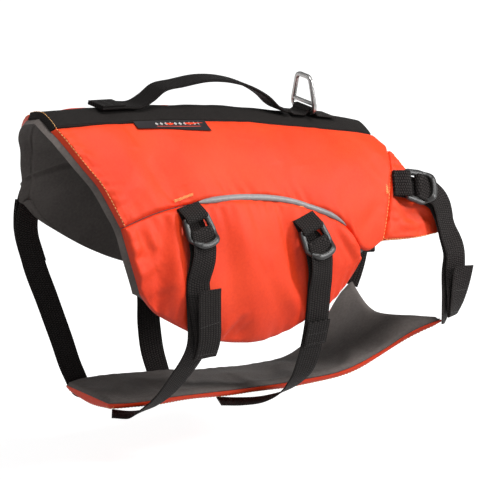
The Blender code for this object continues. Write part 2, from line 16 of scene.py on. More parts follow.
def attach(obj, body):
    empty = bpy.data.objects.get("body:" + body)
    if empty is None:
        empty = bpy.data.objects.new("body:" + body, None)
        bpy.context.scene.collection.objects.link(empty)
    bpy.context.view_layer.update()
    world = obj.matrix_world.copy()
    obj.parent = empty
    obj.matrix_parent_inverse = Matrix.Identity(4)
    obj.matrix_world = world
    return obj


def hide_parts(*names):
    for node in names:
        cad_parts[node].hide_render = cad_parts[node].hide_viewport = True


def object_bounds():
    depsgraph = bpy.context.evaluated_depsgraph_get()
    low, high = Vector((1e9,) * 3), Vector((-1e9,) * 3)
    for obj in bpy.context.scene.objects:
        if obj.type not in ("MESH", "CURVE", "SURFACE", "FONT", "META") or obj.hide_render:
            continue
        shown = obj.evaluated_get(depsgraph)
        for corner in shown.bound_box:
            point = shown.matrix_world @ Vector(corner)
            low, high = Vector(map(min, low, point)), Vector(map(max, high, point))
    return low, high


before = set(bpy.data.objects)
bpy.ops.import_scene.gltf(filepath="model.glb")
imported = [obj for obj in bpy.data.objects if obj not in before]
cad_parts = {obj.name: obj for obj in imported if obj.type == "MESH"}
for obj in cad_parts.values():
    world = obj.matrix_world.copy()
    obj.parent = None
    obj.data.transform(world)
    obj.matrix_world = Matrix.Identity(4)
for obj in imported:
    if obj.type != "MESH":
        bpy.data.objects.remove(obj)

cad_box = [list(corner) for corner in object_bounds()]
print("solid model's box", cad_box)

# %% [markdown]
# ## Driving sizes
# The saddle is worn on a plain rounded figure. Each row of TORSO is a station along the back. The
# panels' edges are rows of (x, drop below the spine line), so one formula places every seam.

# %% Sizes of the garment
WEBBING = 0.025
WEB_THICK = 0.0013
LINING_THICK = 0.0042
SHELL_INNER = 0.0053
SHELL_THICK = 0.0030
SHELL_OUTER = SHELL_INNER + SHELL_THICK
BAND_HALF = 0.0168
LEAN = 0.07
RIDGE = 1.3
LEFT_LIFT = 0.036
SEAM_GAP = 0.0003

#        x, spine_z, half_width, widest_drop
TORSO = np.array((
    (-0.010, 0.001, 0.085, 0.138),
    (0.060, -0.006, 0.087, 0.148),
    (0.130, -0.015, 0.086, 0.152),
    (0.200, -0.027, 0.083, 0.148),
    (0.270, -0.044, 0.078, 0.132),
    (0.340, -0.062, 0.071, 0.112),
    (0.410, -0.088, 0.060, 0.095),
))
REAR_UPPER = ((0.001, 0.0052), (0.0135, 0.030), (0.023, 0.045), (0.031, 0.066), (0.036, 0.079))
REAR_LOWER = ((0.036, 0.079), (0.040, 0.104), (0.048, 0.137))
FLAP_SEAM = ((0.036, 0.079), (0.073, 0.070), (0.126, 0.063), (0.183, 0.060),
             (0.241, 0.064), (0.285, 0.079), (0.296, 0.095))
LEFT_SEAM = ((0.036, 0.079), (0.073, 0.067), (0.131, 0.060), (0.189, 0.060),
             (0.233, 0.067), (0.275, 0.083), (0.296, 0.095))
FLAP_EDGE = ((0.048, 0.137), (0.062, 0.153), (0.084, 0.166), (0.134, 0.185), (0.174, 0.187),
             (0.208, 0.178), (0.236, 0.162), (0.266, 0.142), (0.285, 0.122), (0.297, 0.103))
YOKE_SEAM = ((0.361, 0.013), (0.350, 0.035), (0.340, 0.056), (0.325, 0.088))
NECK_EDGE = ((0.352, 0.0052), (0.361, 0.013))
WING_FRONT = ((0.364, 0.0145), (0.374, 0.027), (0.390, 0.049), (0.401, 0.064))
WING_LOWER = ((0.325, 0.088), (0.350, 0.084), (0.378, 0.077), (0.395, 0.071))
UNDER_ARM = ((0.296, 0.095), (0.304, 0.098), (0.325, 0.088))
SIDES = (("right", -1), ("left", 1))
#         name, side, x, drop, forward_lean, tail, fold_back, flare, lift
FASTENINGS = (
    ("right_rear", -1, 0.108, 0.0625, 8, 0.112, 0.066, -0.0080, 0.0060),
    ("right_front", -1, 0.233, 0.0705, 14, 0.092, 0.024, 0.0, 0.0015),
    ("left_rear", 1, 0.070, 0.0655, -12, 0.080, 0.056, 0.0040, 0.0060),
    ("left_front", 1, 0.198, 0.0645, -12, 0.092, 0.024, 0.0, 0.0015),
    ("neck_right", -1, 0.345, 0.0395, 72, 0.128, 0.046, -0.0050, 0.0050),
    ("neck_left", 1, 0.345, 0.0395, 72, 0.118, 0.044, 0.0090, 0.0050),
)

# %% [markdown]
# ## Camera and light
# A long lens keeps the jacket's lines nearly parallel, as in a catalogue view from behind its right
# side. A lamp above and one from the front right draw the creases, and two weak ones fill. The
# floor glows a little, so it stays white, and it throws no light back on the cloth.

# %% Camera
VIEW_AZIMUTH = math.radians(-35.0)
VIEW_ELEVATION = math.radians(17.0)
VIEW_DISTANCE = 9.0
FRAME_WIDTH = 480 / 1120.0          # width of the view at the origin, in metres
ORIGIN_RIGHT = 202 / 1120.0         # the origin stands this far left of the view's middle
ORIGIN_UP = 118 / 1120.0            # and this far above it


def make_camera():
    """A long lens aimed so that the origin falls at its place in the view."""
    back = Vector((math.sin(VIEW_AZIMUTH) * math.cos(VIEW_ELEVATION),
                   -math.cos(VIEW_AZIMUTH) * math.cos(VIEW_ELEVATION), math.sin(VIEW_ELEVATION)))
    right = Vector((math.cos(VIEW_AZIMUTH), math.sin(VIEW_AZIMUTH), 0.0))
    up = back.cross(right)
    target = right * ORIGIN_RIGHT - up * ORIGIN_UP
    lens = bpy.data.cameras.new("camera")
    lens.sensor_width = 36.0
    lens.lens = lens.sensor_width * VIEW_DISTANCE / FRAME_WIDTH
    lens.clip_end = 100.0
    camera = bpy.data.objects.new("camera", lens)
    turn = Matrix((right, up, back)).transposed().to_4x4()
    camera.matrix_world = Matrix.Translation(target + back * VIEW_DISTANCE) @ turn
    bpy.context.scene.collection.objects.link(camera)
    bpy.context.scene.camera = camera


def make_lamp(name, place, target, size, power, warmth=1.0):
    """A square area lamp at a place, turned towards the target."""
    lamp = bpy.data.lights.new(name, "AREA")
    lamp.shape = "DISK"
    lamp.size = size
    lamp.energy = power
    lamp.color = (1.0, 0.5 + 0.5 * warmth, warmth)
    holder = bpy.data.objects.new(name, lamp)
    holder.location = place
    aim = Vector(target) - Vector(place)
    holder.rotation_euler = aim.to_track_quat("-Z", "Y").to_euler()
    bpy.context.scene.collection.objects.link(holder)


def make_studio():
    """World, four lamps and a floor under the jacket."""
    scene = bpy.context.scene
    scene.view_settings.view_transform = "Standard"
    world = bpy.data.worlds.new("studio")
    world.use_nodes = True
    world.node_tree.nodes["Background"].inputs["Color"].default_value = (1.0, 1.0, 1.0, 1.0)
    world.node_tree.nodes["Background"].inputs["Strength"].default_value = 0.27
    scene.world = world
    middle = (0.2, 0.0, -0.14)
    make_lamp("key", (-0.35, -1.70, 0.15), middle, 0.6, 3.0)
    make_lamp("side", (1.50, -1.10, 0.55), middle, 0.30, 22.0)
    make_lamp("top", (0.50, -0.60, 1.45), middle, 0.6, 23.0)
    make_lamp("far", (-1.2, 1.4, 1.2), middle, 1.2, 7.0)
    floor_height = cad_box[0][2] - 0.05
    half = 20.0
    floor = bpy.data.meshes.new("floor")
    floor.from_pydata([(-half, -half, floor_height), (half, -half, floor_height),
                       (half, half, floor_height), (-half, half, floor_height)], [], [(0, 1, 2, 3)])
    material = bpy.data.materials.new("floor")
    material.use_nodes = True
    shader = material.node_tree.nodes["Principled BSDF"]
    shader.inputs["Base Color"].default_value = (0.42, 0.42, 0.42, 1)
    shader.inputs["Roughness"].default_value = 0.9
    shader.inputs["Emission Color"].default_value = (1, 1, 1, 1)
    shader.inputs["Emission Strength"].default_value = 0.85
    floor.materials.append(material)
    plane = bpy.data.objects.new("floor", floor)
    plane.visible_diffuse = False
    scene.collection.objects.link(plane)


make_camera()
make_studio()

# %% [markdown]
# ## Mesh helpers
# Every piece is worked out as whole numpy arrays: a grid of points for a panel, or a row of sections
# for webbing and bars. UV coordinates are metres on the cloth, so a weave keeps its real scale.

# %% Mesh helpers
pieces = {}


def unit(vectors):
    """Each vector divided by its own length."""
    return vectors / np.linalg.norm(vectors, axis=-1, keepdims=True)


def smooth(value, places, heights):
    """Cubic through each pair of rows, with slopes taken from the neighbouring rows."""
    slopes = np.gradient(heights, places)
    index = np.clip(np.searchsorted(places, value) - 1, 0, len(places) - 2)
    span = places[index + 1] - places[index]
    part = (value - places[index]) / span
    start = heights[index] * (1 + 2 * part) * (1 - part) ** 2 + slopes[index] * span * part * (1 - part) ** 2
    end = heights[index + 1] * part ** 2 * (3 - 2 * part) + slopes[index + 1] * span * part ** 2 * (part - 1)
    return start + end


def along(rows, count):
    """count points at even steps along a smooth curve through the rows."""
    rows = np.asarray(rows, float)
    steps = np.linalg.norm(np.diff(rows[:, :3], axis=0), axis=1)
    places = np.concatenate([[0.0], np.cumsum(steps)])
    wanted = np.linspace(0.0, places[-1], count)
    return np.stack([smooth(wanted, places, rows[:, k]) for k in range(rows.shape[1])], axis=1)


def run_length(points, axis=0):
    """Distance travelled along a row of points, from zero at the first."""
    steps = np.linalg.norm(np.diff(points, axis=axis), axis=-1)
    first = np.zeros_like(np.take(steps, [0], axis=axis))
    return np.concatenate([first, np.cumsum(steps, axis=axis)], axis=axis)


def add_piece(name, points, faces, uv, material, body, replaces=(), smooth_angle=60.0):
    """One mesh object from points, faces and a UV in metres for each point."""
    mesh = bpy.data.meshes.new(name)
    mesh.from_pydata(points.tolist(), [], faces if isinstance(faces, list) else faces.tolist())
    work = bmesh.new()
    work.from_mesh(mesh)
    bmesh.ops.recalc_face_normals(work, faces=work.faces)
    work.to_mesh(mesh)
    work.free()
    corner = np.empty(len(mesh.loops), int)
    mesh.loops.foreach_get("vertex_index", corner)
    layer = mesh.uv_layers.new(name="cloth")
    layer.data.foreach_set("uv", np.asarray(uv, float)[corner].ravel())
    mesh.shade_smooth()
    mesh.set_sharp_from_angle(angle=math.radians(smooth_angle))
    mesh.materials.append(material)
    piece = bpy.data.objects.new(name, mesh)
    bpy.context.scene.collection.objects.link(piece)
    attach(piece, body)
    if replaces:
        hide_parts(*replaces)
    pieces[name] = piece
    print(f"{name}: {len(mesh.polygons)} faces")
    return piece


def grid_faces(rows, columns, start=0):
    """Quads of a grid whose points are numbered row by row from start."""
    corner = start + np.arange((rows - 1) * columns).reshape(rows - 1, columns)[:, :-1]
    return np.stack([corner, corner + columns, corner + columns + 1, corner + 1], axis=-1).reshape(-1, 4)


def wall_faces(rows, columns):
    """Quads of two facing grids and of the rim that joins them."""
    total = rows * columns
    index = np.arange(total).reshape(rows, columns)
    loop = np.concatenate([index[:-1, 0], index[-1, :-1], index[:0:-1, -1], index[0, :0:-1]])
    after = np.roll(loop, -1)
    rim = np.stack([loop, after, after + total, loop + total], axis=1)
    outer = grid_faces(rows, columns)
    inner = grid_faces(rows, columns, total)[:, ::-1]
    return np.concatenate([outer, inner, rim])


def tube_faces(count, corners, start=0, closed=False):
    """Quads round a row of sections, with a cap at each end unless the row is closed."""
    index = start + np.arange(count * corners).reshape(count, corners)
    here = index if closed else index[:-1]
    ahead = np.roll(index, -1, axis=0) if closed else index[1:]
    sides = np.stack([here, np.roll(here, -1, 1), np.roll(ahead, -1, 1), ahead], axis=-1).reshape(-1, 4)
    faces = sides.tolist()
    if not closed:
        faces.append(index[0][::-1].tolist())
        faces.append(index[-1].tolist())
    return faces


# %% [markdown]
# ## The figure
# A back is close to half an ellipse, a little peaked at the spine. figure() turns a place along the
# back and an angle from the ridge into a point, and patches of those two numbers become panels.

# %% The figure that wears the saddle
def torso_column(x, column):
    """A column of the torso table at each x."""
    return smooth(x, TORSO[:, 0], TORSO[:, column])


def angle_at(x, drop):
    """Angle whose cosine is one less the drop over the widest line's drop."""
    return np.arccos(1.0 - drop / torso_column(x, 3))


def angle_at_width(x, half_width):
    """Angle whose point stands half_width from the middle plane."""
    return np.arcsin((half_width / torso_column(x, 2)) ** (1.0 / RIDGE))


def figure(x, angle):
    """Across is half_width times sine to the power RIDGE; drop is widest_drop times one less cosine."""
    sine = np.sin(angle)
    across = torso_column(x, 2) * np.sign(sine) * np.abs(sine) ** RIDGE
    height = torso_column(x, 1) - torso_column(x, 3) * (1.0 - np.cos(angle)) + LEAN * across
    return np.stack([x + 0.0 * angle, across, height], axis=-1)


def outward(x, angle):
    """Cross product of small steps along the back and round the girth."""
    step = 1e-4
    length = figure(x + step, angle) - figure(x - step, angle)
    girth = figure(x, angle + step) - figure(x, angle - step)
    return unit(np.cross(length, girth))


def on_figure(x, angle, height):
    """Point on the figure, moved outwards by height."""
    return figure(x, angle) + outward(x, angle) * np.asarray(height)[..., None]


def edge(rows, side, count, dx=0.0, ddrop=0.0):
    """An edge given as (x, drop) rows, as (x, signed angle) points."""
    points = along(rows, count)
    x = points[:, 0] + dx
    return np.stack([x, side * angle_at(x, points[:, 1] + ddrop)], axis=1)


def fill(first, last, rear, front):
    """Patch between four edges: the two rulings added, less the bilinear sheet of the corners."""
    rear[0], rear[-1], front[0], front[-1] = first[0], last[0], first[-1], last[-1]
    u = np.linspace(0.0, 1.0, len(first))[:, None, None]
    v = np.linspace(0.0, 1.0, len(rear))[None, :, None]
    across = (1 - v) * first[:, None, :] + v * last[:, None, :]
    length = (1 - u) * rear[None, :, :] + u * front[None, :, :]
    corners = ((1 - u) * (1 - v) * first[0] + u * (1 - v) * first[-1]
               + (1 - u) * v * last[0] + u * v * last[-1])
    return across + length - corners


# %% [markdown]
# ## Cloth relief
# Cloth is never a plain offset. Its edges roll over, stitch lines sink into the foam, seams pucker,
# and loads from the straps draw creases. Each effect is one formula in metres on the panel.

# %% Relief of padded cloth
def spans(points):
    """Distances of each grid point from the panel's four edges: rear, front, first and last."""
    length = run_length(points, 0)
    width = run_length(points, 1)
    return length, length[-1:] - length, width, width[:, -1:] - width


def rolled(distance, roll):
    """Quarter circle from 0 at the edge to 1 at the roll's width."""
    share = np.clip(distance / roll, 0.0, 1.0)
    return np.sqrt(1.0 - (1.0 - share) ** 2)


def groove(distance, place, width, depth):
    """Soft channel where thread pulls the cloth down."""
    return -depth * np.exp(-((distance - place) / width) ** 2)


def puckers(distance, travel, spacing, reach, depth, phase=0.0):
    """Short ripples square to a seam, uneven in size, that fade away from it."""
    uneven = 0.6 + 0.4 * np.sin(travel * 2 * np.pi / (spacing * 4.7) + 1.3 * phase)
    ripple = np.sin(travel * 2 * np.pi / spacing + 1.6 * np.sin(travel * 31.0 + phase))
    return depth * uneven * ripple * np.exp(-distance / reach)


def creases(across, down, rows):
    """Troughs along short lines: (from a, from b, to a, to b, width, depth), each with a soft lip."""
    total = np.zeros_like(across)
    for start_a, start_b, end_a, end_b, width, depth in rows:
        run_a, run_b = end_a - start_a, end_b - start_b
        size = run_a ** 2 + run_b ** 2
        part = np.clip(((across - start_a) * run_a + (down - start_b) * run_b) / size, 0.0, 1.0)
        side = ((across - start_a - part * run_a) * run_b - (down - start_b - part * run_b) * run_a)
        away = np.hypot(across - start_a - part * run_a, down - start_b - part * run_b)
        fade = np.sin(np.pi * (0.08 + 0.84 * part)) ** 0.7
        trough = np.exp(-(away / width) ** 2)
        lip = 0.45 * np.exp(-((away - 1.9 * width) / (1.1 * width)) ** 2) * np.sign(side)
        total += depth * fade * (lip - trough)
    return total


PRESS_RADIUS = 0.026     # reach of the hollow that a fastening presses in the foam
PRESS_BELOW = 0.026      # its centre, below the point where the tab is sewn
PRESS_STRETCH = 1.5      # its length, as a multiple of its width


def pressed(x, drop, side):
    """From 0 under each fastening to 1 away from it: 1 minus the sum of round bell curves."""
    total = np.ones_like(x)
    for _, place_side, place_x, place_drop, *_ in FASTENINGS:
        if place_side == side:
            away = np.hypot(x - place_x, (drop - place_drop - PRESS_BELOW) / PRESS_STRETCH)
            total -= np.exp(-(away / PRESS_RADIUS) ** 2)
    return np.clip(total, 0.0, 1.0)


def swell(across, down, size, depth, seed):
    """Sum of five slow waves in directions drawn once from the seed."""
    draw = np.random.default_rng(seed)
    total = np.zeros_like(across)
    for _ in range(5):
        turn = draw.uniform(0, np.pi)
        pace = 2 * np.pi / (size * draw.uniform(0.6, 1.6))
        total += np.sin(pace * (across * np.cos(turn) + down * np.sin(turn)) + draw.uniform(0, 6.28))
    return depth * total / 5


# %% [markdown]
# ## Finishes
# Three node groups carry the textile detail: a plain weave, a ribbed webbing weave, and soft wear.
# They put out heights and masks only, and each material adds its own Principled shader.

# %% Node helpers
def new_group(name, inputs, outputs):
    """Shader node group with float inputs (name, value), and outputs (name, kind)."""
    group = bpy.data.node_groups.new(name, "ShaderNodeTree")
    for label, value in inputs:
        socket = group.interface.new_socket(name=label, in_out="INPUT", socket_type="NodeSocketFloat")
        socket.default_value = value
    for label, kind in outputs:
        group.interface.new_socket(name=label, in_out="OUTPUT", socket_type=kind)
    return group, group.nodes.new("NodeGroupInput"), group.nodes.new("NodeGroupOutput")


def math_node(tree, operation, first, second=None):
    """Math node fed by sockets or numbers; gives back its output socket."""
    node = tree.nodes.new("ShaderNodeMath")
    node.operation = operation
    for socket, value in zip(node.inputs, (first, second)):
        if value is None:
            continue
        if isinstance(value, (int, float)):
            socket.default_value = value
        else:
            tree.links.new(value, socket)
    return node.outputs[0]


def cloth_coordinates(tree):
    """The piece's own UV in metres, as two sockets."""
    source = tree.nodes.new("ShaderNodeUVMap")
    source.uv_map = "cloth"
    split = tree.nodes.new("ShaderNodeSeparateXYZ")
    tree.links.new(source.outputs["UV"], split.inputs[0])
    return split.outputs[0], split.outputs[1]


def noise_node(tree, scale, detail, roughness=0.5):
    """Noise on Object coordinates."""
    place = tree.nodes.new("ShaderNodeTexCoord")
    noise = tree.nodes.new("ShaderNodeTexNoise")
    noise.inputs["Scale"].default_value = scale
    noise.inputs["Detail"].default_value = detail
    noise.inputs["Roughness"].default_value = roughness
    tree.links.new(place.outputs["Object"], noise.inputs["Vector"])
    return noise.outputs["Fac"]


# %% Weave groups
def plain_weave_group():
    """Two crossed sets of rounded threads: the product of sines decides which one lies on top."""
    group, given, out = new_group("plain_weave", [("Thread", 0.0006)], [("Height", "NodeSocketFloat")])
    u, v = cloth_coordinates(group)
    phase_u = math_node(group, "DIVIDE", math_node(group, "MULTIPLY", u, math.pi), given.outputs["Thread"])
    phase_v = math_node(group, "DIVIDE", math_node(group, "MULTIPLY", v, math.pi), given.outputs["Thread"])
    wave_u = math_node(group, "SINE", phase_u)
    wave_v = math_node(group, "SINE", phase_v)
    over = math_node(group, "MULTIPLY", wave_u, wave_v)
    round_u = math_node(group, "ABSOLUTE", wave_u)
    round_v = math_node(group, "ABSOLUTE", wave_v)
    rounds = math_node(group, "MULTIPLY", math_node(group, "ADD", round_u, round_v), 0.35)
    height = math_node(group, "ADD", math_node(group, "MULTIPLY", over, 0.3), rounds)
    group.links.new(height, out.inputs["Height"])
    return group


def webbing_weave_group():
    """Ribs across the strap, shifted half a rib in every other column, between plain edges."""
    group, given, out = new_group("webbing_weave", [("Rib", 0.0016), ("Column", 0.0021)],
                                  [("Height", "NodeSocketFloat")])
    u, v = cloth_coordinates(group)
    column = math_node(group, "FLOOR", math_node(group, "DIVIDE", v, given.outputs["Column"]))
    odd = math_node(group, "MODULO", math_node(group, "ADD", column, 40.0), 2.0)
    shift = math_node(group, "MULTIPLY", odd, 0.5)
    rib = math_node(group, "ADD", math_node(group, "DIVIDE", u, given.outputs["Rib"]), shift)
    ribs = math_node(group, "ABSOLUTE", math_node(group, "SINE", math_node(group, "MULTIPLY", rib, math.pi)))
    groove_v = math_node(group, "ABSOLUTE", math_node(group, "SINE", math_node(
        group, "MULTIPLY", math_node(group, "DIVIDE", v, given.outputs["Column"]), math.pi)))
    columns = math_node(group, "POWER", groove_v, 0.4)
    height = math_node(group, "MULTIPLY", math_node(group, "POWER", ribs, 0.6), columns)
    group.links.new(height, out.inputs["Height"])
    return group


def crumple_group():
    """Fine creases of a coated cloth: noise on Object coordinates."""
    group, given, out = new_group("crumple", [("Scale", 55.0)], [("Height", "NodeSocketFloat")])
    noise = noise_node(group, 55.0, 4.0, 0.55)
    group.links.new(given.outputs["Scale"], noise.node.inputs["Scale"])
    group.links.new(noise, out.inputs["Height"])
    return group


def soft_wear_group():
    """Slow mottling and fine specks on Object coordinates, as one mask from 0 to 1."""
    group, given, out = new_group("soft_wear", [("Specks", 0.4)], [("Mask", "NodeSocketFloat")])
    slow = noise_node(group, 14.0, 3.0)
    fine = noise_node(group, 420.0, 2.0)
    rest = math_node(group, "SUBTRACT", 1.0, given.outputs["Specks"])
    mixed = math_node(group, "ADD", math_node(group, "MULTIPLY", fine, given.outputs["Specks"]),
                      math_node(group, "MULTIPLY", slow, rest))
    group.links.new(mixed, out.inputs["Mask"])
    return group


GROUPS = {"plain_weave": plain_weave_group(), "webbing_weave": webbing_weave_group(),
          "crumple": crumple_group(), "soft_wear": soft_wear_group()}
print("node groups", sorted(GROUPS))


# %% [markdown]
# ## Label weave
# A woven label has its pattern in its threads, so it is a pattern on the label's own UV and not a
# picture. Two masks are enough: a row of diamonds and a thin line under it.

# %% Label weave
DIAMOND_ROW = 0.40       # place of the row across the label, as a share of its width
DIAMOND_HEIGHT = 1.9
DIAMOND_SIZE = 0.36
LINE_ROW = 0.74
LINE_HALF = 0.035
PATTERN_MIDDLE = 0.046   # along the label, in metres
PATTERN_HALF = 0.024


def away_node(group, value, place):
    """Distance of value from place: the absolute value of their difference."""
    return math_node(group, "ABSOLUTE", math_node(group, "SUBTRACT", value, place))


def label_pattern_group():
    """Pale: distance along the repeat plus distance across the row is under a limit. Line: a band."""
    group, given, out = new_group("label_pattern", [("Width", 0.0105), ("Repeat", 0.0052)],
                                  [("Pale", "NodeSocketFloat"), ("Line", "NodeSocketFloat")])
    u, v = cloth_coordinates(group)
    share = math_node(group, "DIVIDE", v, given.outputs["Width"])
    repeat = math_node(group, "FRACT", math_node(group, "DIVIDE", u, given.outputs["Repeat"]))
    height = math_node(group, "MULTIPLY", away_node(group, share, DIAMOND_ROW), DIAMOND_HEIGHT)
    reach = math_node(group, "ADD", away_node(group, repeat, 0.5), height)
    diamond = math_node(group, "LESS_THAN", reach, DIAMOND_SIZE)
    inside = math_node(group, "LESS_THAN", away_node(group, u, PATTERN_MIDDLE), PATTERN_HALF)
    line = math_node(group, "LESS_THAN", away_node(group, share, LINE_ROW), LINE_HALF)
    group.links.new(math_node(group, "MULTIPLY", diamond, inside), out.inputs["Pale"])
    group.links.new(math_node(group, "MULTIPLY", line, inside), out.inputs["Line"])
    return group


GROUPS["label_pattern"] = label_pattern_group()


# %% Materials
def place_group(tree, name, **values):
    node = tree.nodes.new("ShaderNodeGroup")
    node.node_tree = GROUPS[name]
    for label, value in values.items():
        node.inputs[label].default_value = value
    return node


def tinted(tree, mask, dark, light, low=0.35, high=0.65):
    """Colour between two tints, driven by a mask."""
    ramp = tree.nodes.new("ShaderNodeValToRGB")
    ramp.color_ramp.elements[0].position = low
    ramp.color_ramp.elements[1].position = high
    ramp.color_ramp.elements[0].color = (*dark, 1.0)
    ramp.color_ramp.elements[1].color = (*light, 1.0)
    tree.links.new(mask, ramp.inputs["Fac"])
    return ramp.outputs["Color"]


def roughness_from(tree, mask, low, high):
    scaled = math_node(tree, "MULTIPLY", mask, high - low)
    return math_node(tree, "ADD", scaled, low)


def bumped(tree, shader, height, distance, strength=1.0):
    bump = tree.nodes.new("ShaderNodeBump")
    bump.inputs["Distance"].default_value = distance
    bump.inputs["Strength"].default_value = strength
    tree.links.new(height, bump.inputs["Height"])
    tree.links.new(bump.outputs["Normal"], shader.inputs["Normal"])


def new_material(name):
    """A node material with its shader ready for links."""
    material = bpy.data.materials.new(name)
    material.use_nodes = True
    return material, material.node_tree, material.node_tree.nodes["Principled BSDF"]


def woven_material(name, dark, light, thread, rough, sheen, relief, specular=0.35):
    """Plain-woven cloth: mottled colour, thread relief and a soft sheen."""
    material, tree, shader = new_material(name)
    weave = place_group(tree, "plain_weave", Thread=thread)
    wear = place_group(tree, "soft_wear", Specks=0.35)
    tree.links.new(tinted(tree, wear.outputs["Mask"], dark, light), shader.inputs["Base Color"])
    tree.links.new(roughness_from(tree, wear.outputs["Mask"], rough - 0.06, rough + 0.08),
                   shader.inputs["Roughness"])
    crumple = place_group(tree, "crumple", Scale=55.0)
    height = math_node(tree, "ADD", math_node(tree, "MULTIPLY", weave.outputs["Height"], 0.25),
                       math_node(tree, "MULTIPLY", crumple.outputs["Height"], 1.6))
    bumped(tree, shader, height, relief)
    shader.inputs["Sheen Weight"].default_value = sheen
    shader.inputs["Sheen Roughness"].default_value = 0.4
    shader.inputs["Specular IOR Level"].default_value = specular
    return material


def webbing_material(name, dark, light, rib, column, relief):
    """Woven webbing: ribs and columns in relief; its colour is darker in the grooves and paler on the ribs'
    crowns, which is painted shade and painted highlight, with random wear mottling.
    """
    material, tree, shader = new_material(name)
    weave = place_group(tree, "webbing_weave", Rib=rib, Column=column)
    wear = place_group(tree, "soft_wear", Specks=0.5)
    # Painted shade and highlight: the weave's height darkens the grooves and lightens the crowns, and the
    # wear mask adds random mottling.
    mixed = math_node(tree, "ADD", math_node(tree, "MULTIPLY", weave.outputs["Height"], 0.7),
                      math_node(tree, "MULTIPLY", wear.outputs["Mask"], 0.4))
    tree.links.new(tinted(tree, mixed, dark, light, 0.30, 0.85), shader.inputs["Base Color"])
    tree.links.new(roughness_from(tree, wear.outputs["Mask"], 0.55, 0.8), shader.inputs["Roughness"])
    bumped(tree, shader, weave.outputs["Height"], relief)
    shader.inputs["Sheen Weight"].default_value = 0.015
    shader.inputs["Sheen Roughness"].default_value = 0.5
    shader.inputs["Specular IOR Level"].default_value = 0.09
    return material


def hard_material(name, dark, light, rough, metallic, grain, relief):
    """Moulded or cast piece: fine grain in colour, roughness and relief."""
    material, tree, shader = new_material(name)
    wear = place_group(tree, "soft_wear", Specks=0.6)
    tree.links.new(tinted(tree, wear.outputs["Mask"], dark, light), shader.inputs["Base Color"])
    tree.links.new(roughness_from(tree, wear.outputs["Mask"], rough - 0.07, rough + 0.1),
                   shader.inputs["Roughness"])
    bumped(tree, shader, noise_node(tree, grain, 3.0), relief)
    shader.inputs["Metallic"].default_value = metallic
    return material


#                        name, dark, light, thread, roughness, sheen, relief, specular
ORANGE = woven_material("orange_cloth", (0.77, 0.036, 0.004), (0.88, 0.058, 0.009),
                        0.00055, 0.52, 0.03, 0.00030, 0.26)
LINING = woven_material("grey_lining", (0.098, 0.084, 0.078), (0.162, 0.141, 0.131),
                        0.0004, 0.62, 0.03, 0.00028, 0.16)
TAPE = woven_material("reflective_tape", (0.20, 0.188, 0.188), (0.29, 0.278, 0.278),
                      0.0005, 0.35, 0.05, 0.00012)
LABEL = woven_material("label_cloth", (0.010, 0.009, 0.010), (0.018, 0.016, 0.018),
                       0.0003, 0.5, 0.03, 0.00006, 0.25)
LABEL_TREE, LABEL_SHADER = LABEL.node_tree, LABEL.node_tree.nodes["Principled BSDF"]
LABEL_MASKS = place_group(LABEL_TREE, "label_pattern")
label_ground = LABEL_SHADER.inputs["Base Color"].links[0].from_socket
for mask_name, colour in (("Pale", (0.42, 0.40, 0.39, 1.0)), ("Line", (0.55, 0.07, 0.05, 1.0))):
    mix = LABEL_TREE.nodes.new("ShaderNodeMix")
    mix.data_type = "RGBA"
    LABEL_TREE.links.new(LABEL_MASKS.outputs[mask_name], mix.inputs["Factor"])
    LABEL_TREE.links.new(label_ground, mix.inputs["A"])
    mix.inputs["B"].default_value = colour
    label_ground = mix.outputs["Result"]
LABEL_TREE.links.new(label_ground, LABEL_SHADER.inputs["Base Color"])
THREAD = woven_material("orange_thread", (0.90, 0.40, 0.11), (0.97, 0.56, 0.21), 0.0003, 0.6, 0.1, 0.00005)
DARK_THREAD = woven_material("black_thread", (0.028, 0.026, 0.025), (0.050, 0.046, 0.044),
                             0.0003, 0.6, 0.05, 0.00005)
#                          name, dark, light, rib, column, relief
BAND = webbing_material("band_cloth", (0.006, 0.005, 0.0048), (0.022, 0.019, 0.0175), 0.0013, 0.0014, 0.0003)
STRAP = webbing_material("strap_webbing", (0.0035, 0.003, 0.003), (0.032, 0.027, 0.0255),
                         0.0021, 0.0028, 0.0009)
HANDLE = webbing_material("handle_webbing", (0.003, 0.0025, 0.0024), (0.014, 0.0118, 0.011),
                          0.0015, 0.0017, 0.0005)
#                        name, dark, light, roughness, metallic, grain, relief
PLASTIC = hard_material("dark_plastic", (0.012, 0.0115, 0.011), (0.026, 0.025, 0.024),
                        0.40, 0.0, 900.0, 0.00006)
STEEL = hard_material("satin_steel", (0.30, 0.295, 0.29), (0.42, 0.41, 0.40), 0.30, 1.0, 500.0, 0.00004)


# %% [markdown]
# ## Saddle panels
# Each orange panel is nylon over thin foam. It could be a flat plane with a Solidify modifier, but
# foam swells between its seams, so the outer face is worked out: a quarter circle at every edge, a
# soft crown, stitch grooves, puckers and a few long creases where the straps pull.

# %% A cloth wall on the figure
surfaces = {}


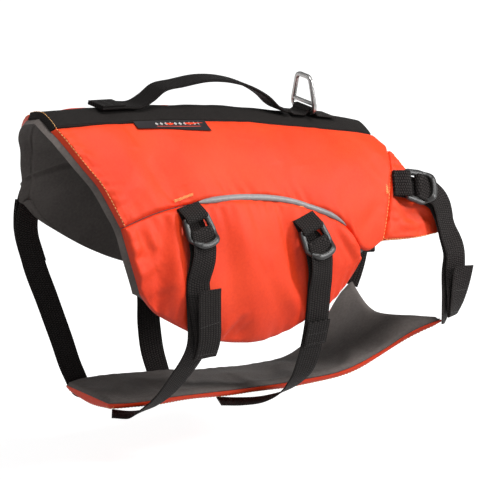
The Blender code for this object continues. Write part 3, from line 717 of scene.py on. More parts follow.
def cloth_wall(name, patch, low, high, relief, tucks, roll, material, replaces):
    """Outer face: low plus thickness, rising in a quarter circle from each edge, plus relief."""
    x, angle = patch[..., 0], patch[..., 1]
    middle = on_figure(x, angle, np.full(x.shape, (low + high) / 2))
    rear, front, first, last = spans(middle)
    away = np.minimum(np.minimum(rear, front), np.minimum(first, last))
    rise = rolled(away, roll)
    tuck = np.zeros_like(x)
    for distance, depth in zip((rear, front, first, last), tucks):
        tuck = np.maximum(tuck, depth * (1 - rolled(distance, roll)))
    drop = torso_column(x, 3) * (1 - np.cos(angle))
    shape = relief(x, drop, rear, front, first, last) * np.clip(away / roll, 0.15, 1.0)
    outer_height = low + (high - low) * (0.35 + 0.65 * rise) + shape - tuck
    outer = on_figure(x, angle, np.maximum(outer_height, low - tuck + 0.0006))
    inner = on_figure(x, angle, low - tuck)
    surfaces[name] = outer
    count = outer.shape[0] * outer.shape[1]
    uv = np.stack([rear, first], axis=-1).reshape(-1, 2)
    points = np.concatenate([outer.reshape(-1, 3), inner.reshape(-1, 3)])
    piece = add_piece(name, points, wall_faces(*outer.shape[:2]), np.concatenate([uv, uv]), material,
                      "jacket", replaces)
    corner = outer[:-1, :-1]
    steps = np.linalg.norm(np.cross(outer[1:, :-1] - corner, outer[:-1, 1:] - corner), axis=-1)
    print(f"  {count} points a face, {rear.max():.3f} by {first.max():.3f} m, area {steps.sum():.5f} m2")
    return piece


def flap_edge(side):
    """Lower edge of a flap: the left one is lifted evenly towards its rear corner."""
    if side < 0:
        return FLAP_EDGE
    rear, front = FLAP_EDGE[0][0], FLAP_EDGE[-1][0]
    return tuple((x, drop - LEFT_LIFT * (front - x) / (front - rear)) for x, drop in FLAP_EDGE)


def rear_lower(side):
    """Rear edge of a flap, down to the corner of its lower edge."""
    return REAR_LOWER[:-1] + (flap_edge(side)[0],)


def flap_seam(side):
    """Seam between a back panel and its flap."""
    return FLAP_SEAM if side < 0 else LEFT_SEAM


# %% Creases of each panel
# Rows are (from x, from drop, to x, to drop, width, depth), in metres on the panel.
BACK_CREASES = (
    (0.098, 0.060, 0.082, 0.030, 0.0105, 0.0024),
    (0.050, 0.064, 0.078, 0.038, 0.0075, 0.0017),
    (0.034, 0.068, 0.056, 0.056, 0.0050, 0.0013),
    (0.130, 0.048, 0.225, 0.038, 0.0110, 0.0012),
    (0.236, 0.006, 0.226, 0.042, 0.0050, 0.0008),
    (0.018, 0.018, 0.060, 0.022, 0.0060, 0.0012),
    (0.010, 0.026, 0.026, 0.034, 0.0030, 0.0014),
    (0.278, 0.060, 0.318, 0.034, 0.0085, 0.0015),
    (0.300, 0.082, 0.326, 0.058, 0.0055, 0.0014),
    (0.326, 0.018, 0.344, 0.038, 0.0055, 0.0011),
    (0.120, 0.012, 0.180, 0.018, 0.0080, 0.0008),
    (0.240, 0.030, 0.300, 0.018, 0.0090, 0.0009),
)
FLAP_CREASES = (
    (0.080, 0.072, 0.062, 0.152, 0.0085, 0.0050),
    (0.050, 0.080, 0.062, 0.106, 0.0055, 0.0026),
    (0.038, 0.108, 0.062, 0.100, 0.0040, 0.0020),
    (0.046, 0.132, 0.066, 0.116, 0.0045, 0.0018),
    (0.056, 0.144, 0.074, 0.134, 0.0040, 0.0015),
    (0.148, 0.078, 0.138, 0.150, 0.0110, 0.0014),
    (0.212, 0.074, 0.222, 0.144, 0.0080, 0.0046),
    (0.136, 0.184, 0.156, 0.164, 0.0036, 0.0030),
    (0.150, 0.180, 0.164, 0.168, 0.0030, 0.0014),
    (0.186, 0.128, 0.206, 0.168, 0.0090, 0.0016),
    (0.268, 0.082, 0.286, 0.110, 0.0045, 0.0019),
    (0.100, 0.148, 0.090, 0.172, 0.0055, 0.0017),
    (0.176, 0.068, 0.186, 0.100, 0.0060, 0.0011),
)
WING_CREASES = (
    (0.352, 0.066, 0.384, 0.058, 0.0050, 0.0022),
    (0.346, 0.078, 0.372, 0.075, 0.0035, 0.0016),
    (0.346, 0.052, 0.364, 0.040, 0.0042, 0.0017),
    (0.366, 0.056, 0.394, 0.066, 0.0050, 0.0017),
)
TUCK = 0.0030            # how far an outer edge wraps down round the lining
VALLEY = 0.0018          # how far a seam between two panels sinks
FLAP_CROWN = 0.0042      # height of the foam's swell in the middle of a flap
BACK_CROWN = 0.0026      # the same on a back panel


def back_relief(side):
    def relief(x, drop, rear, front, first, last):
        crown = BACK_CROWN * rolled(np.minimum(first, last), 0.045) * pressed(x, drop, side)
        hem = groove(rear, 0.0048, 0.0011, 0.0011) + puckers(rear, first, 0.0105, 0.0085, 0.0011, side)
        seam = puckers(last, rear, 0.0140, 0.0105, 0.0011, 2.0 + side)
        yoke = groove(front, 0.0030, 0.0010, 0.0009) + puckers(front, first, 0.0120, 0.0080, 0.0005, 4.0)
        band = puckers(first, rear, 0.0190, 0.0080, 0.0004, 1.0 + side)
        return (crown + hem + seam + yoke + band + swell(x, drop, 0.062, 0.0026, 5 + side)
                + creases(x, drop, BACK_CREASES))
    return relief


def flap_relief(side):
    def relief(x, drop, rear, front, first, last):
        nearest = np.minimum(np.minimum(first, last), np.minimum(rear, front))
        crown = FLAP_CROWN * rolled(nearest, 0.050) * pressed(x, drop, side)
        seam = (groove(first, 0.0030, 0.0012, 0.0008)
                + puckers(first, rear, 0.0120, 0.0120, 0.0012, 3.0 + side))
        hem = puckers(last, rear, 0.0150, 0.0090, 0.0012, side)
        tail = puckers(rear, first, 0.0110, 0.0075, 0.0006, 1.0)
        return (crown + seam + hem + tail + swell(x, drop, 0.052, 0.0028, 11 + side)
                + creases(x, drop, FLAP_CREASES))
    return relief


def wing_relief(side):
    def relief(x, drop, rear, front, first, last):
        seam = groove(rear, 0.0030, 0.0010, 0.0008) + puckers(rear, first, 0.0085, 0.0080, 0.0006, side)
        hem = puckers(last, rear, 0.0090, 0.0060, 0.0005, 2.0) + puckers(front, first, 0.0095, 0.0060, 0.0005)
        return seam + hem + swell(x, drop, 0.030, 0.0020, 17 + side) + creases(x, drop, WING_CREASES)
    return relief


# %% Back panels, flaps and wings
def back_patch(side):
    """Grid of (x, angle) between the band, the flap seam, the rear edge and the yoke."""
    lower = np.concatenate([edge(flap_seam(side), side, 120, ddrop=-SEAM_GAP),
                            edge(UNDER_ARM, side, 16, ddrop=-SEAM_GAP)[1:]])
    x = np.linspace(REAR_UPPER[0][0], NECK_EDGE[0][0], len(lower))
    ridge = np.stack([x, side * angle_at_width(x, BAND_HALF + SEAM_GAP)], axis=1)
    front = np.concatenate([edge(NECK_EDGE, side, 9)[:-1], edge(YOKE_SEAM, side, 56, dx=-SEAM_GAP)])
    return fill(ridge, lower, edge(REAR_UPPER, side, len(front)), front)


def flap_patch(side):
    """Grid of (x, angle) between the flap seam and the lower edge."""
    upper = edge(flap_seam(side), side, 130, ddrop=SEAM_GAP)
    lower = edge(flap_edge(side), side, 130)
    front = edge((flap_seam(side)[-1], flap_edge(side)[-1]), side, 64)
    return fill(upper, lower, edge(rear_lower(side), side, 64), front)


def wing_patch(side):
    """Grid of (x, angle) between the yoke seam and the front edge."""
    upper = edge((YOKE_SEAM[0], WING_FRONT[0]), side, 40, dx=SEAM_GAP)
    lower = edge(WING_LOWER, side, 40, dx=SEAM_GAP)
    front = edge(WING_FRONT + (WING_LOWER[-1],), side, 56, dx=SEAM_GAP)
    return fill(upper, lower, edge(YOKE_SEAM, side, 56, dx=SEAM_GAP), front)


for word, side in SIDES:
    cloth_wall("back_panel_cloth_" + word, back_patch(side), SHELL_INNER, SHELL_OUTER, back_relief(side),
               (TUCK, VALLEY, VALLEY, VALLEY), 0.0045, ORANGE, ("back_panel_" + word,))
    cloth_wall("side_flap_cloth_" + word, flap_patch(side), SHELL_INNER, SHELL_OUTER, flap_relief(side),
               (TUCK, TUCK, VALLEY, TUCK), 0.0045, ORANGE, ("side_flap_" + word,))
    cloth_wall("shoulder_wing_cloth_" + word, wing_patch(side), SHELL_INNER, SHELL_OUTER, wing_relief(side),
               (VALLEY, TUCK, TUCK, TUCK), 0.0040, ORANGE, ("shoulder_wing_" + word,))

# %% [markdown]
# ## Lining and spine band
# The grey lining faces the wearer, so its inner face is the one with the detail: a seam under each
# flap seam, and slack that gathers between them. The band is one flat woven strip along the spine.

# %% Lining
LINING_CREASES = (
    (0.010, 0.034, 0.060, 0.052, 0.0080, 0.0016),
    (0.030, 0.088, 0.090, 0.118, 0.0120, 0.0014),
    (0.070, 0.100, 0.140, 0.092, 0.0100, 0.0011),
    (0.050, 0.018, 0.120, 0.030, 0.0090, 0.0010),
    (0.180, 0.090, 0.210, 0.140, 0.0110, 0.0012),
    (0.240, 0.050, 0.300, 0.060, 0.0090, 0.0011),
)


FACING_WIDTH = 0.0120        # the foam's rear end, faced in grey, shows past the orange edge
FACING_REACH = 0.0050
FACING_DEPTH = 0.0032


def rear_rows(side):
    return REAR_UPPER + rear_lower(side)[1:]


def front_rows(side):
    """The same rows on both sides, from the neck down the wing's front."""
    return NECK_EDGE[:1] + WING_FRONT + (WING_LOWER[-1],)


def lining_patch():
    """One sheet from the right flap's edge over the back to the left flap's edge."""
    rows, half = 150, 70
    ends = UNDER_ARM[1:] + WING_LOWER[1:]
    right, left = edge(flap_edge(-1) + ends, -1, rows), edge(flap_edge(1) + ends, 1, rows)

    def whole(side_rows):
        halves = [edge(side_rows(side), side, half) for side in (-1, 1)]
        for points in halves:
            points[0, 1] = 0.0
        return np.concatenate([halves[0][::-1], halves[1][1:]])

    return fill(right, left, whole(rear_rows), whole(front_rows))


def make_lining():
    """Inner face: slack and creases sink outwards, and a groove follows each flap seam."""
    patch = lining_patch()
    x, angle = patch[..., 0], patch[..., 1]
    drop = torso_column(x, 3) * (1 - np.cos(angle))
    rear, front, first, last = spans(on_figure(x, angle, np.zeros(x.shape)))
    away = np.minimum(np.minimum(rear, front), np.minimum(first, last))
    rise = rolled(away, 0.0040)
    relief = swell(x, drop * np.sign(angle) + 0.2, 0.055, 0.0016, 23) - creases(x, drop, LINING_CREASES)
    seam_drop = np.where(angle < 0, np.interp(x, *np.array(FLAP_SEAM).T),
                         np.interp(x, *np.array(LEFT_SEAM).T))
    relief = relief + 0.0026 * np.exp(-((drop - seam_drop) / 0.0022) ** 2) - 0.0006 * np.exp(
        -((drop - seam_drop) / 0.0090) ** 2)
    facing = 0.0018 * np.exp(-((rear - 0.0125) / 0.0012) ** 2)
    inner_height = LINING_THICK * 0.5 * (1 - rise) + (relief + facing) * np.clip(away / 0.006, 0.0, 1.0)
    outer_height = LINING_THICK * (0.5 + 0.5 * rise)
    lip = 1 - rolled(rear, FACING_WIDTH)
    inner = on_figure(x - FACING_REACH * lip, angle, np.minimum(inner_height, LINING_THICK * 0.62)
                      - FACING_DEPTH * lip)
    outer = on_figure(x - FACING_REACH * lip, angle, outer_height - FACING_DEPTH * lip)
    surfaces["lining_inside"] = inner
    uv = np.stack([rear, first], axis=-1).reshape(-1, 2)
    points = np.concatenate([outer.reshape(-1, 3), inner.reshape(-1, 3)])
    add_piece("lining_cloth", points, wall_faces(*x.shape), np.concatenate([uv, uv]), LINING,
              "jacket", ("lining",))
    print(f"  {rear.max():.3f} by {first.max():.3f} m")


def make_band():
    x = np.linspace(REAR_UPPER[0][0], NECK_EDGE[0][0], 150)[:, None]
    share = np.linspace(-1.0, 1.0, 29)[None, :]
    patch = np.stack([x + 0 * share, np.sign(share) * angle_at_width(x, BAND_HALF * np.abs(share))], axis=-1)

    def relief(x, drop, rear, front, first, last):
        return (puckers(np.minimum(first, last), rear, 0.017, 0.006, 0.0004)
                + swell(x, first, 0.050, 0.0006, 31) + groove(rear, 0.0062, 0.0010, 0.0006))

    cloth_wall("spine_band_cloth", patch, SHELL_INNER, SHELL_OUTER, relief, (TUCK, TUCK, 0.0006, 0.0006),
               0.0022, BAND, ("spine_band",))


make_lining()
make_band()

# %% [markdown]
# ## Webbing
# Webbing is flat and stiff across its width, so a section with round edges is carried along a path,
# square to a facing direction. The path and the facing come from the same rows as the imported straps.

# %% A length of webbing
SECTION_HALF = 7


def webbing_section(width, thick):
    """Stadium outline: flat top and bottom joined by half circles, as (across, lift) pairs."""
    flat = np.linspace(-1.0, 1.0, SECTION_HALF) * (width / 2 - thick / 2)
    turn = np.radians((-60.0, 0.0, 60.0))
    right = np.stack([width / 2 - thick / 2 + np.cos(turn) * thick / 2, np.sin(turn) * thick / 2], axis=1)
    left = -right
    bottom = np.stack([flat, np.full(SECTION_HALF, -thick / 2)], axis=1)
    top = np.stack([flat[::-1], np.full(SECTION_HALF, thick / 2)], axis=1)
    return np.concatenate([bottom, right, top, left])


def webbing_frame(middle, facing):
    run = unit(np.gradient(middle, axis=0))
    facing = unit(facing - run * np.sum(facing * run, axis=1, keepdims=True))
    return run, np.cross(run, facing), facing


webbing_cuts = {}


def make_webbing(name, middle, facing, width, thick, material, body="jacket", replaces=()):
    """Section point = middle + across times its first number + facing times its second."""
    webbing_cuts[name] = (width, round(float(run_length(middle)[-1]), 3))
    _, across, lift = webbing_frame(middle, facing)
    section = webbing_section(width, thick)
    points = (middle[:, None, :] + across[:, None, :] * section[None, :, :1]
              + lift[:, None, :] * section[None, :, 1:])
    travel = run_length(middle)
    uv = np.stack([np.repeat(travel[:, None], len(section), axis=1),
                   np.repeat(section[None, :, 0], len(middle), axis=0)], axis=-1)
    return add_piece(name, points.reshape(-1, 3), tube_faces(*points.shape[:2]), uv.reshape(-1, 2),
                     material, body, replaces, 75.0)


def resample(middle, facing, step):
    """The same path at even steps."""
    travel = run_length(middle)
    wanted = np.linspace(0.0, travel[-1], int(travel[-1] / step) + 2)
    line = [np.stack([np.interp(wanted, travel, rows[:, k]) for k in range(3)], axis=1)
            for rows in (middle, facing)]
    return line[0], unit(line[1])


# %% Handle
HANDLE_ROWS = (
    (0.062, 0.0009), (0.085, 0.0009), (0.106, 0.0009), (0.117, 0.0065), (0.130, 0.0155),
    (0.150, 0.0195), (0.180, 0.0245), (0.205, 0.0240), (0.228, 0.0195), (0.246, 0.0115),
    (0.256, 0.0040), (0.262, 0.0014), (0.268, 0.0010),
)
HANDLE_THICK = 0.0030
UP = np.array((0.0, 0.0, 1.0))


def band_top(x):
    """Top of the spine band, over the ridge."""
    return torso_column(np.asarray(x, float), 1) + SHELL_OUTER


def handle_line(first, last, lift):
    rows = along(HANDLE_ROWS, 200)
    rows = rows[(rows[:, 0] >= first) & (rows[:, 0] <= last)]
    x = rows[:, 0]
    return np.stack([x, 0.0 * x, band_top(x) + rows[:, 1] + lift], axis=1)


def make_handle():
    middle = handle_line(0.0, 1.0, HANDLE_THICK / 2)
    make_webbing("handle_strap", middle, np.tile(UP, (len(middle), 1)), WEBBING, HANDLE_THICK - 0.0004,
                 HANDLE, replaces=("handle",))
    fold = handle_line(0.0, 0.088, HANDLE_THICK + 0.0006)
    make_webbing("handle_fold", fold, np.tile(UP, (len(fold), 1)), WEBBING - 0.0012, WEB_THICK,
                 HANDLE)


make_handle()

# %% [markdown]
# ## Leash ring
# A cast steel ring: a tapered frame with round corners and a cross bar, so its webbing can't slide
# up. A curve with a bevel would do, but here the section is a rounded rectangle, worked out directly.

# %% Leash ring and its loop
SWING_HEIGHT = 0.0040
RING_X = 0.291
RING_METAL = 0.0042
RING_DEEP = 0.0036
RING_BOTTOM = 0.0205
RING_TOP = 0.0118
RING_HEIGHT = 0.0365
BAR_LOW = 0.0066
BAR_HIGH = 0.0098
PIVOT = np.array([RING_X, 0.0, float(band_top(RING_X)) + SWING_HEIGHT])


def rounded_path(corners, radius, steps):
    """Closed line through corners that are replaced by arcs of the radius."""
    corners = np.asarray(corners, float)
    line = []
    for k, corner in enumerate(corners):
        before, after = unit(corners[k - 1] - corner), unit(corners[(k + 1) % len(corners)] - corner)
        half = math.acos(float(np.clip(before @ after, -1, 1))) / 2
        centre = corner + unit(before + after) * radius / math.sin(half)
        sweep = math.pi - 2 * half
        part = np.linspace(0.0, 1.0, steps)[:, None]
        first = corner + before * radius / math.tan(half) - centre
        last = corner + after * radius / math.tan(half) - centre
        swung = first * np.sin((1 - part) * sweep) + last * np.sin(part * sweep)
        line.append(centre + swung / math.sin(sweep))
    return np.concatenate(line)


def bar_section(wide, deep, corners=16, power=3.5):
    """Rounded rectangle as a superellipse: sine and cosine raised to 2 over the power."""
    turn = np.linspace(0.0, 2 * np.pi, corners, endpoint=False)
    across = np.sign(np.cos(turn)) * np.abs(np.cos(turn)) ** (2 / power) * wide / 2
    lift = np.sign(np.sin(turn)) * np.abs(np.sin(turn)) ** (2 / power) * deep / 2
    return np.stack([across, lift], axis=1)


def bar_points(path, normal, wide, deep, closed):
    """Section carried along a path: across the run in the normal's plane, and along the normal."""
    if closed:
        run = unit(np.roll(path, -1, axis=0) - np.roll(path, 1, axis=0))
    else:
        run = unit(np.gradient(path, axis=0))
    section = bar_section(wide, deep)
    across = np.cross(normal, run)
    return path[:, None, :] + across[:, None, :] * section[None, :, :1] + normal * section[None, :, 1:]


def join_tubes(tubes):
    """Points and faces of several tubes in one mesh; each row is (sections, closed)."""
    points, faces, start = [], [], 0
    for sections, closed in tubes:
        count, corners = sections.shape[:2]
        faces += tube_faces(count, corners, start, closed)
        points.append(sections.reshape(-1, 3))
        start += count * corners
    return np.concatenate(points), faces


def make_ring():
    low, high, inset = 0.0, RING_HEIGHT - RING_METAL, RING_METAL / 2
    outline = rounded_path(((-RING_BOTTOM + inset, low), (RING_BOTTOM - inset, low),
                            (RING_TOP - inset, high), (-RING_TOP + inset, high)), 0.0058, 10)
    path = PIVOT + np.stack([0 * outline[:, 0], outline[:, 0], outline[:, 1]], axis=1)
    forward = np.array((1.0, 0.0, 0.0))
    frame_bar = bar_points(path, forward, RING_METAL, RING_DEEP, True)
    level = (BAR_LOW + BAR_HIGH) / 2
    reach = RING_BOTTOM - inset - (RING_BOTTOM - RING_TOP) * level / RING_HEIGHT
    y = np.linspace(-reach, reach, 8)
    bar = PIVOT + np.stack([0 * y, y, level + 0 * y], axis=1)
    cross_bar = bar_points(bar, forward, BAR_HIGH - BAR_LOW, RING_DEEP * 0.85, False)
    points, faces = join_tubes(((frame_bar, True), (cross_bar, False)))
    add_piece("leash_ring_steel", points, faces, points[:, 1:], STEEL, "ring",
              ("leash_ring",), 50.0)


def make_ring_loop():
    """Webbing that lies on the band, arches over the ring's lower bar and lies flat again."""
    radius, rest = 0.0039, WEB_THICK / 2 + SEAM_GAP - SWING_HEIGHT
    turn = np.linspace(0.0, np.pi, 17)
    behind, ahead = np.linspace(-0.020, -0.0072, 9), np.linspace(0.0072, 0.028, 13)
    x = np.concatenate([behind, -np.cos(turn) * radius, ahead])
    flat = np.concatenate([np.ones(9, bool), np.zeros(17, bool), np.ones(13, bool)])
    arch = np.concatenate([np.zeros(9), np.sin(turn) * radius, np.zeros(13)])
    z = np.where(flat, band_top(RING_X + x) - band_top(RING_X) + rest, arch)
    middle = np.stack([PIVOT[0] + x, 0 * x, PIVOT[2] + z], axis=1)
    run = unit(np.gradient(middle, axis=0))
    facing = np.stack([-run[:, 2], 0 * x, run[:, 0]], axis=1)
    middle, facing = resample(middle, facing, 0.0012)
    make_webbing("ring_loop_webbing", middle, facing, WEBBING - 0.001, WEB_THICK, STRAP,
                 replaces=("ring_loop",))


make_ring()
make_ring_loop()

# %% [markdown]
# ## Ladder locks, tabs and straps
# Each lock is a moulded loop with a middle bar. A folded tab holds its top, and the strap comes up
# behind it, turns round the middle bar and hangs in front of itself as a free tail with a folded end.
# A short piece of webbing backs each lock, so no bare cloth shows between its bars.

# %% Sizes of the fastenings
TAB_START = 0.0035
LOCK_TOP_BAR = 0.0165
LOCK_MIDDLE_BAR = 0.0310
LOCK_END = 0.0465
LOCK_WIDTH = 0.0335
LOCK_THICK = 0.0044
LOCK_RIM = 0.0056
LOCK_STANDOFF = 0.0058
LIP_RISE = 0.0060
STRAP_SLIP = 0.0065      # how far the strap slides sideways in a lock on the right side
WRAP_RADIUS = 0.00335

# Straps below their locks: x, distance from the middle, z, turn and tilt of the face in degrees.
STRAP_ROWS = {
    "right_rear": (
        (0.1035, 0.1000, -0.145, 0, 0), (0.1050, 0.0995, -0.172, 0, 3),
        (0.1075, 0.0950, -0.202, 0, 14), (0.0995, 0.0750, -0.239, 0, 40),
        (0.0860, 0.0585, -0.2640, 0, 62), (0.0720, 0.0400, -0.2775, 0, 86),
        (0.0580, 0.0300, -0.2765, 0, 90)),
    "right_front": (
        (0.2410, 0.0945, -0.168, 0, 0), (0.2400, 0.0930, -0.195, 0, 4),
        (0.2400, 0.0860, -0.2245, 0, 14), (0.2410, 0.0780, -0.2440, 0, 28),
        (0.2390, 0.0690, -0.2630, 0, 48), (0.2290, 0.0590, -0.2780, 0, 68),
        (0.2130, 0.0490, -0.2860, 0, 82), (0.1930, 0.0390, -0.2875, 0, 88),
        (0.1750, 0.0310, -0.2860, 0, 90)),
    "left_rear": (
        (0.0545, 0.1010, -0.130, 0, 0), (0.0575, 0.0950, -0.164, 0, 8),
        (0.0650, 0.0840, -0.199, 0, 18), (0.0700, 0.0690, -0.233, 0, 30),
        (0.0730, 0.0550, -0.2610, 0, 55), (0.0750, 0.0390, -0.2775, 0, 86),
        (0.0760, 0.0260, -0.2775, 0, 90)),
    "left_front": (
        (0.1850, 0.1000, -0.150, 0, 0), (0.1830, 0.0970, -0.185, 0, 5),
        (0.1784, 0.0870, -0.2185, 0, 15), (0.1690, 0.0720, -0.2400, 0, 30),
        (0.1640, 0.0560, -0.2670, 0, 55), (0.1650, 0.0400, -0.2870, 0, 86),
        (0.1670, 0.0260, -0.2870, 0, 90)),
    "neck_right": (
        (0.4010, 0.0715, -0.156, 20, 0), (0.4060, 0.0730, -0.174, 12, 0),
        (0.4050, 0.0730, -0.192, 8, 0), (0.4010, 0.0750, -0.216, 22, 0),
        (0.3930, 0.0770, -0.240, 48, 5)),
    "neck_left": (
        (0.4010, 0.0715, -0.154, 20, 0), (0.4050, 0.0730, -0.172, 12, 0),
        (0.4050, 0.0730, -0.192, 8, 0), (0.4010, 0.0750, -0.216, 22, 0),
        (0.3930, 0.0770, -0.240, 48, 5)),
}


# %% A fastening's own directions
def tab_frame(side, x, drop, lean):
    """Origin on the cloth, and unit directions along the strap, across it and outwards."""
    angle = side * angle_at(x, drop)
    origin, out, step = on_figure(x, angle, SHELL_OUTER), outward(x, angle), 1e-4
    down = unit(figure(x, angle + side * step) - figure(x, angle))
    ahead = np.cross(down, out)
    ahead *= np.sign(ahead[0])
    turn = math.radians(lean)
    run = unit(down * math.cos(turn) + ahead * math.sin(turn))
    return origin, run, np.cross(run, out), out


def in_frame(frame_axes, run, lift, across=0.0):
    """Origin plus run, lift and across along the fastening's own directions."""
    origin, direction, sideways, out = frame_axes
    place = origin + np.outer(run, direction) + np.outer(lift, out)
    return place + np.outer(np.broadcast_to(across, np.shape(run)), sideways)


def wrap_points(centre_run, start_degrees, end_degrees, count):
    """Arc of webbing round a bar, as (run, lift) arrays."""
    turn = np.radians(np.linspace(start_degrees, end_degrees, count))
    return centre_run + np.cos(turn) * WRAP_RADIUS, LOCK_STANDOFF + np.sin(turn) * WRAP_RADIUS


def lip_lift(run):
    """The loop's free end curves outwards, over the strap and its tail."""
    share = np.clip((run - LOCK_MIDDLE_BAR - 0.002) / (LOCK_END - LOCK_MIDDLE_BAR - 0.006), 0.0, 1.0)
    return LOCK_STANDOFF + LIP_RISE * share ** 2 * (3 - 2 * share)


# %% Lock and tab
def make_lock(name, frame_axes):
    """Closed loop: straight top bar, sides that widen to the middle bar, and a round free end."""
    half = LOCK_WIDTH / 2 - LOCK_RIM / 2
    end = LOCK_END - LOCK_RIM / 2
    middle = LOCK_MIDDLE_BAR
    turn = np.radians(np.linspace(-90.0, 90.0, 41))
    bow = np.stack([middle - 0.001 + (end - middle + 0.001) * np.abs(np.cos(turn)) ** 0.72,
                    half * np.sign(np.sin(turn)) * np.abs(np.sin(turn)) ** 0.80], axis=1)
    top = np.stack([LOCK_TOP_BAR + 0.0012 * (1 - np.abs(np.cos(turn[::2])) ** 0.3),
                    half * 0.90 * np.sin(-turn[::2])], axis=1)
    outline = np.concatenate([bow, top])
    path = in_frame(frame_axes, outline[:, 0], lip_lift(outline[:, 0]), outline[:, 1])
    rim = bar_points(path, frame_axes[3], LOCK_RIM, LOCK_THICK, True)
    across = np.linspace(-half, half, 9)
    bar = in_frame(frame_axes, np.full(9, middle), np.full(9, LOCK_STANDOFF), across)
    middle_bar = bar_points(bar, frame_axes[3], 0.0032, LOCK_THICK * 0.9, False)
    points, faces = join_tubes(((rim, True), (middle_bar, False)))
    add_piece("lock_moulding_" + name, points, faces, points[:, 1:], PLASTIC, "jacket",
              ("ladder_lock_" + name,), 50.0)


def make_tab(name, frame_axes):
    """Folded webbing: out from the seam, round the lock's top bar and back."""
    run, lift = wrap_points(LOCK_TOP_BAR, -80.0, 80.0, 17)
    under = SEAM_GAP + WEB_THICK / 2
    over = under + WEB_THICK + 0.0006
    lead = TAB_START + np.linspace(0.0, 0.85, 6) * (LOCK_TOP_BAR - TAB_START)
    share = np.linspace(0.0, 0.85, 6)
    ease = share ** 2 * (3 - 2 * share)
    run = np.concatenate([lead, run, lead[::-1]])
    lift = np.concatenate([under + ease * (lift[0] - under), lift, (over + ease * (lift[-1] - over))[::-1]])
    middle = in_frame(frame_axes, run, lift)
    travel = unit(np.gradient(middle, axis=0))
    middle, facing = resample(middle, np.cross(frame_axes[2], travel), 0.0009)
    make_webbing("tab_webbing_" + name, middle, facing, WEBBING, WEB_THICK, STRAP,
                 replaces=("tab_" + name,))
    run = np.linspace(LOCK_TOP_BAR - 0.002, LOCK_MIDDLE_BAR + 0.001, 14)
    make_webbing("tab_backing_" + name, in_frame(frame_axes, run, np.full(14, under)),
                 np.tile(frame_axes[3], (14, 1)), WEBBING - 0.002, WEB_THICK * 0.7, STRAP)


# %% Strap with its tail and folded end
strap_paths = {}


def strap_line(frame_axes, side, rows):
    """Smooth line and facing through two points behind the lock and the rows."""
    rows = np.asarray(rows, float)
    turn, tilt = np.radians(rows[:, 3]), np.radians(rows[:, 4])
    places = rows[:, :3] * (1.0, side, 1.0)
    level = np.cos(tilt)
    facing = np.stack([np.sin(turn) * level, side * np.cos(turn) * level, -np.sin(tilt)], axis=1)
    behind = in_frame(frame_axes, np.array([LOCK_MIDDLE_BAR + 0.004, LOCK_END + 0.0045]),
                      np.full(2, LOCK_STANDOFF - WRAP_RADIUS),
                      np.array([0.2, 1.0]) * (STRAP_SLIP if side < 0 else 0.0))
    line = along(np.concatenate([np.concatenate([behind, places]),
                                 np.concatenate([np.tile(frame_axes[3], (2, 1)), facing])], axis=1), 140)
    return line[:, :3], unit(line[:, 3:])


def make_strap(name, frame_axes, side, tail, fold_back, flare, lift):
    """Pad to lock, an arc round the middle bar, the tail over the first run, then its folded end."""
    middle, facing = strap_line(frame_axes, side, STRAP_ROWS[name])
    steps = run_length(middle)
    run, wrap_lift = wrap_points(LOCK_MIDDLE_BAR, 262.0, 98.0, 17)
    wrap = in_frame(frame_axes, run, wrap_lift)
    axis = in_frame(frame_axes, np.full(17, LOCK_MIDDLE_BAR), np.full(17, LOCK_STANDOFF))
    wrap_facing = unit(axis - wrap)

    def layer(reach, spread, sideways=0.0):
        place = np.stack([np.interp(reach, steps, middle[:, k]) for k in range(3)], axis=1)
        out = unit(np.stack([np.interp(reach, steps, facing[:, k]) for k in range(3)], axis=1))
        along_run = unit(np.gradient(place, axis=0)) * np.sign(reach[-1] - reach[0])
        across = np.cross(along_run, out)
        return place + out * np.reshape(spread, (-1, 1)) + across * np.reshape(sideways, (-1, 1)), out

    reach = np.linspace(0.004, tail, 90)
    settle = np.clip((reach - 0.010) / 0.030, 0.0, 1.0)
    close = WEB_THICK + 0.0005
    loose = lift * 0.5 * np.clip((reach - 0.045) / (tail - 0.045), 0.0, 1.0) ** 1.5
    spread = 2 * WRAP_RADIUS * (1 - settle) + close * settle + loose
    swing = flare * np.clip((reach - 0.040) / (tail - 0.040), 0.0, 1.0) ** 1.2
    hang, hang_facing = layer(reach, spread, swing)
    share = np.linspace(0.0, 1.0, 50)
    back = tail - share * fold_back
    back_spread = np.interp(back, reach, spread) + close + lift * share ** 1.4
    back_side = np.interp(back, reach, swing) + flare * 0.9 * share
    fold, fold_facing = layer(back, back_spread, back_side)
    bulge = unit(hang[-1] - hang[-2]) * (close / 2 + 0.0004)
    tip = (hang[-1] + fold[0]) / 2 + bulge
    tip_facing = unit(hang[-2] - hang[-1])
    points = np.concatenate([middle[::-1], wrap, hang, tip[None], fold])
    outer = np.concatenate([-facing[::-1], wrap_facing, hang_facing, tip_facing[None], -fold_facing])
    signs = np.concatenate([np.ones(len(middle)), np.ones(17), -np.ones(len(hang)), [1.0],
                            np.ones(len(fold))])
    strap_paths[name] = {"main": (middle, facing), "hang": (hang, hang_facing), "fold": (fold, fold_facing)}
    run_way = unit(np.gradient(points, axis=0))
    across_way = np.cross(run_way, outer * signs[:, None])
    flip = np.sign(np.sum(across_way[1:] * across_way[:-1], axis=1))
    turned = np.concatenate([[1.0], np.cumprod(np.where(flip == 0, 1.0, flip))])
    facing_all = outer * signs[:, None] * turned[:, None]
    make_webbing("strap_webbing_" + name, points, facing_all, WEBBING - 0.0005, WEB_THICK, STRAP,
                 replaces=("strap_" + name,))
    print(f"  webbing length {run_length(points)[-1]:.3f} m")


for name, side, x, drop, lean, tail, fold_back, flare, lift in FASTENINGS:
    axes = tab_frame(side, x, drop, lean)
    make_tab(name, axes)
    make_lock(name, axes)
    make_strap(name, axes, side, tail, fold_back, flare, lift)

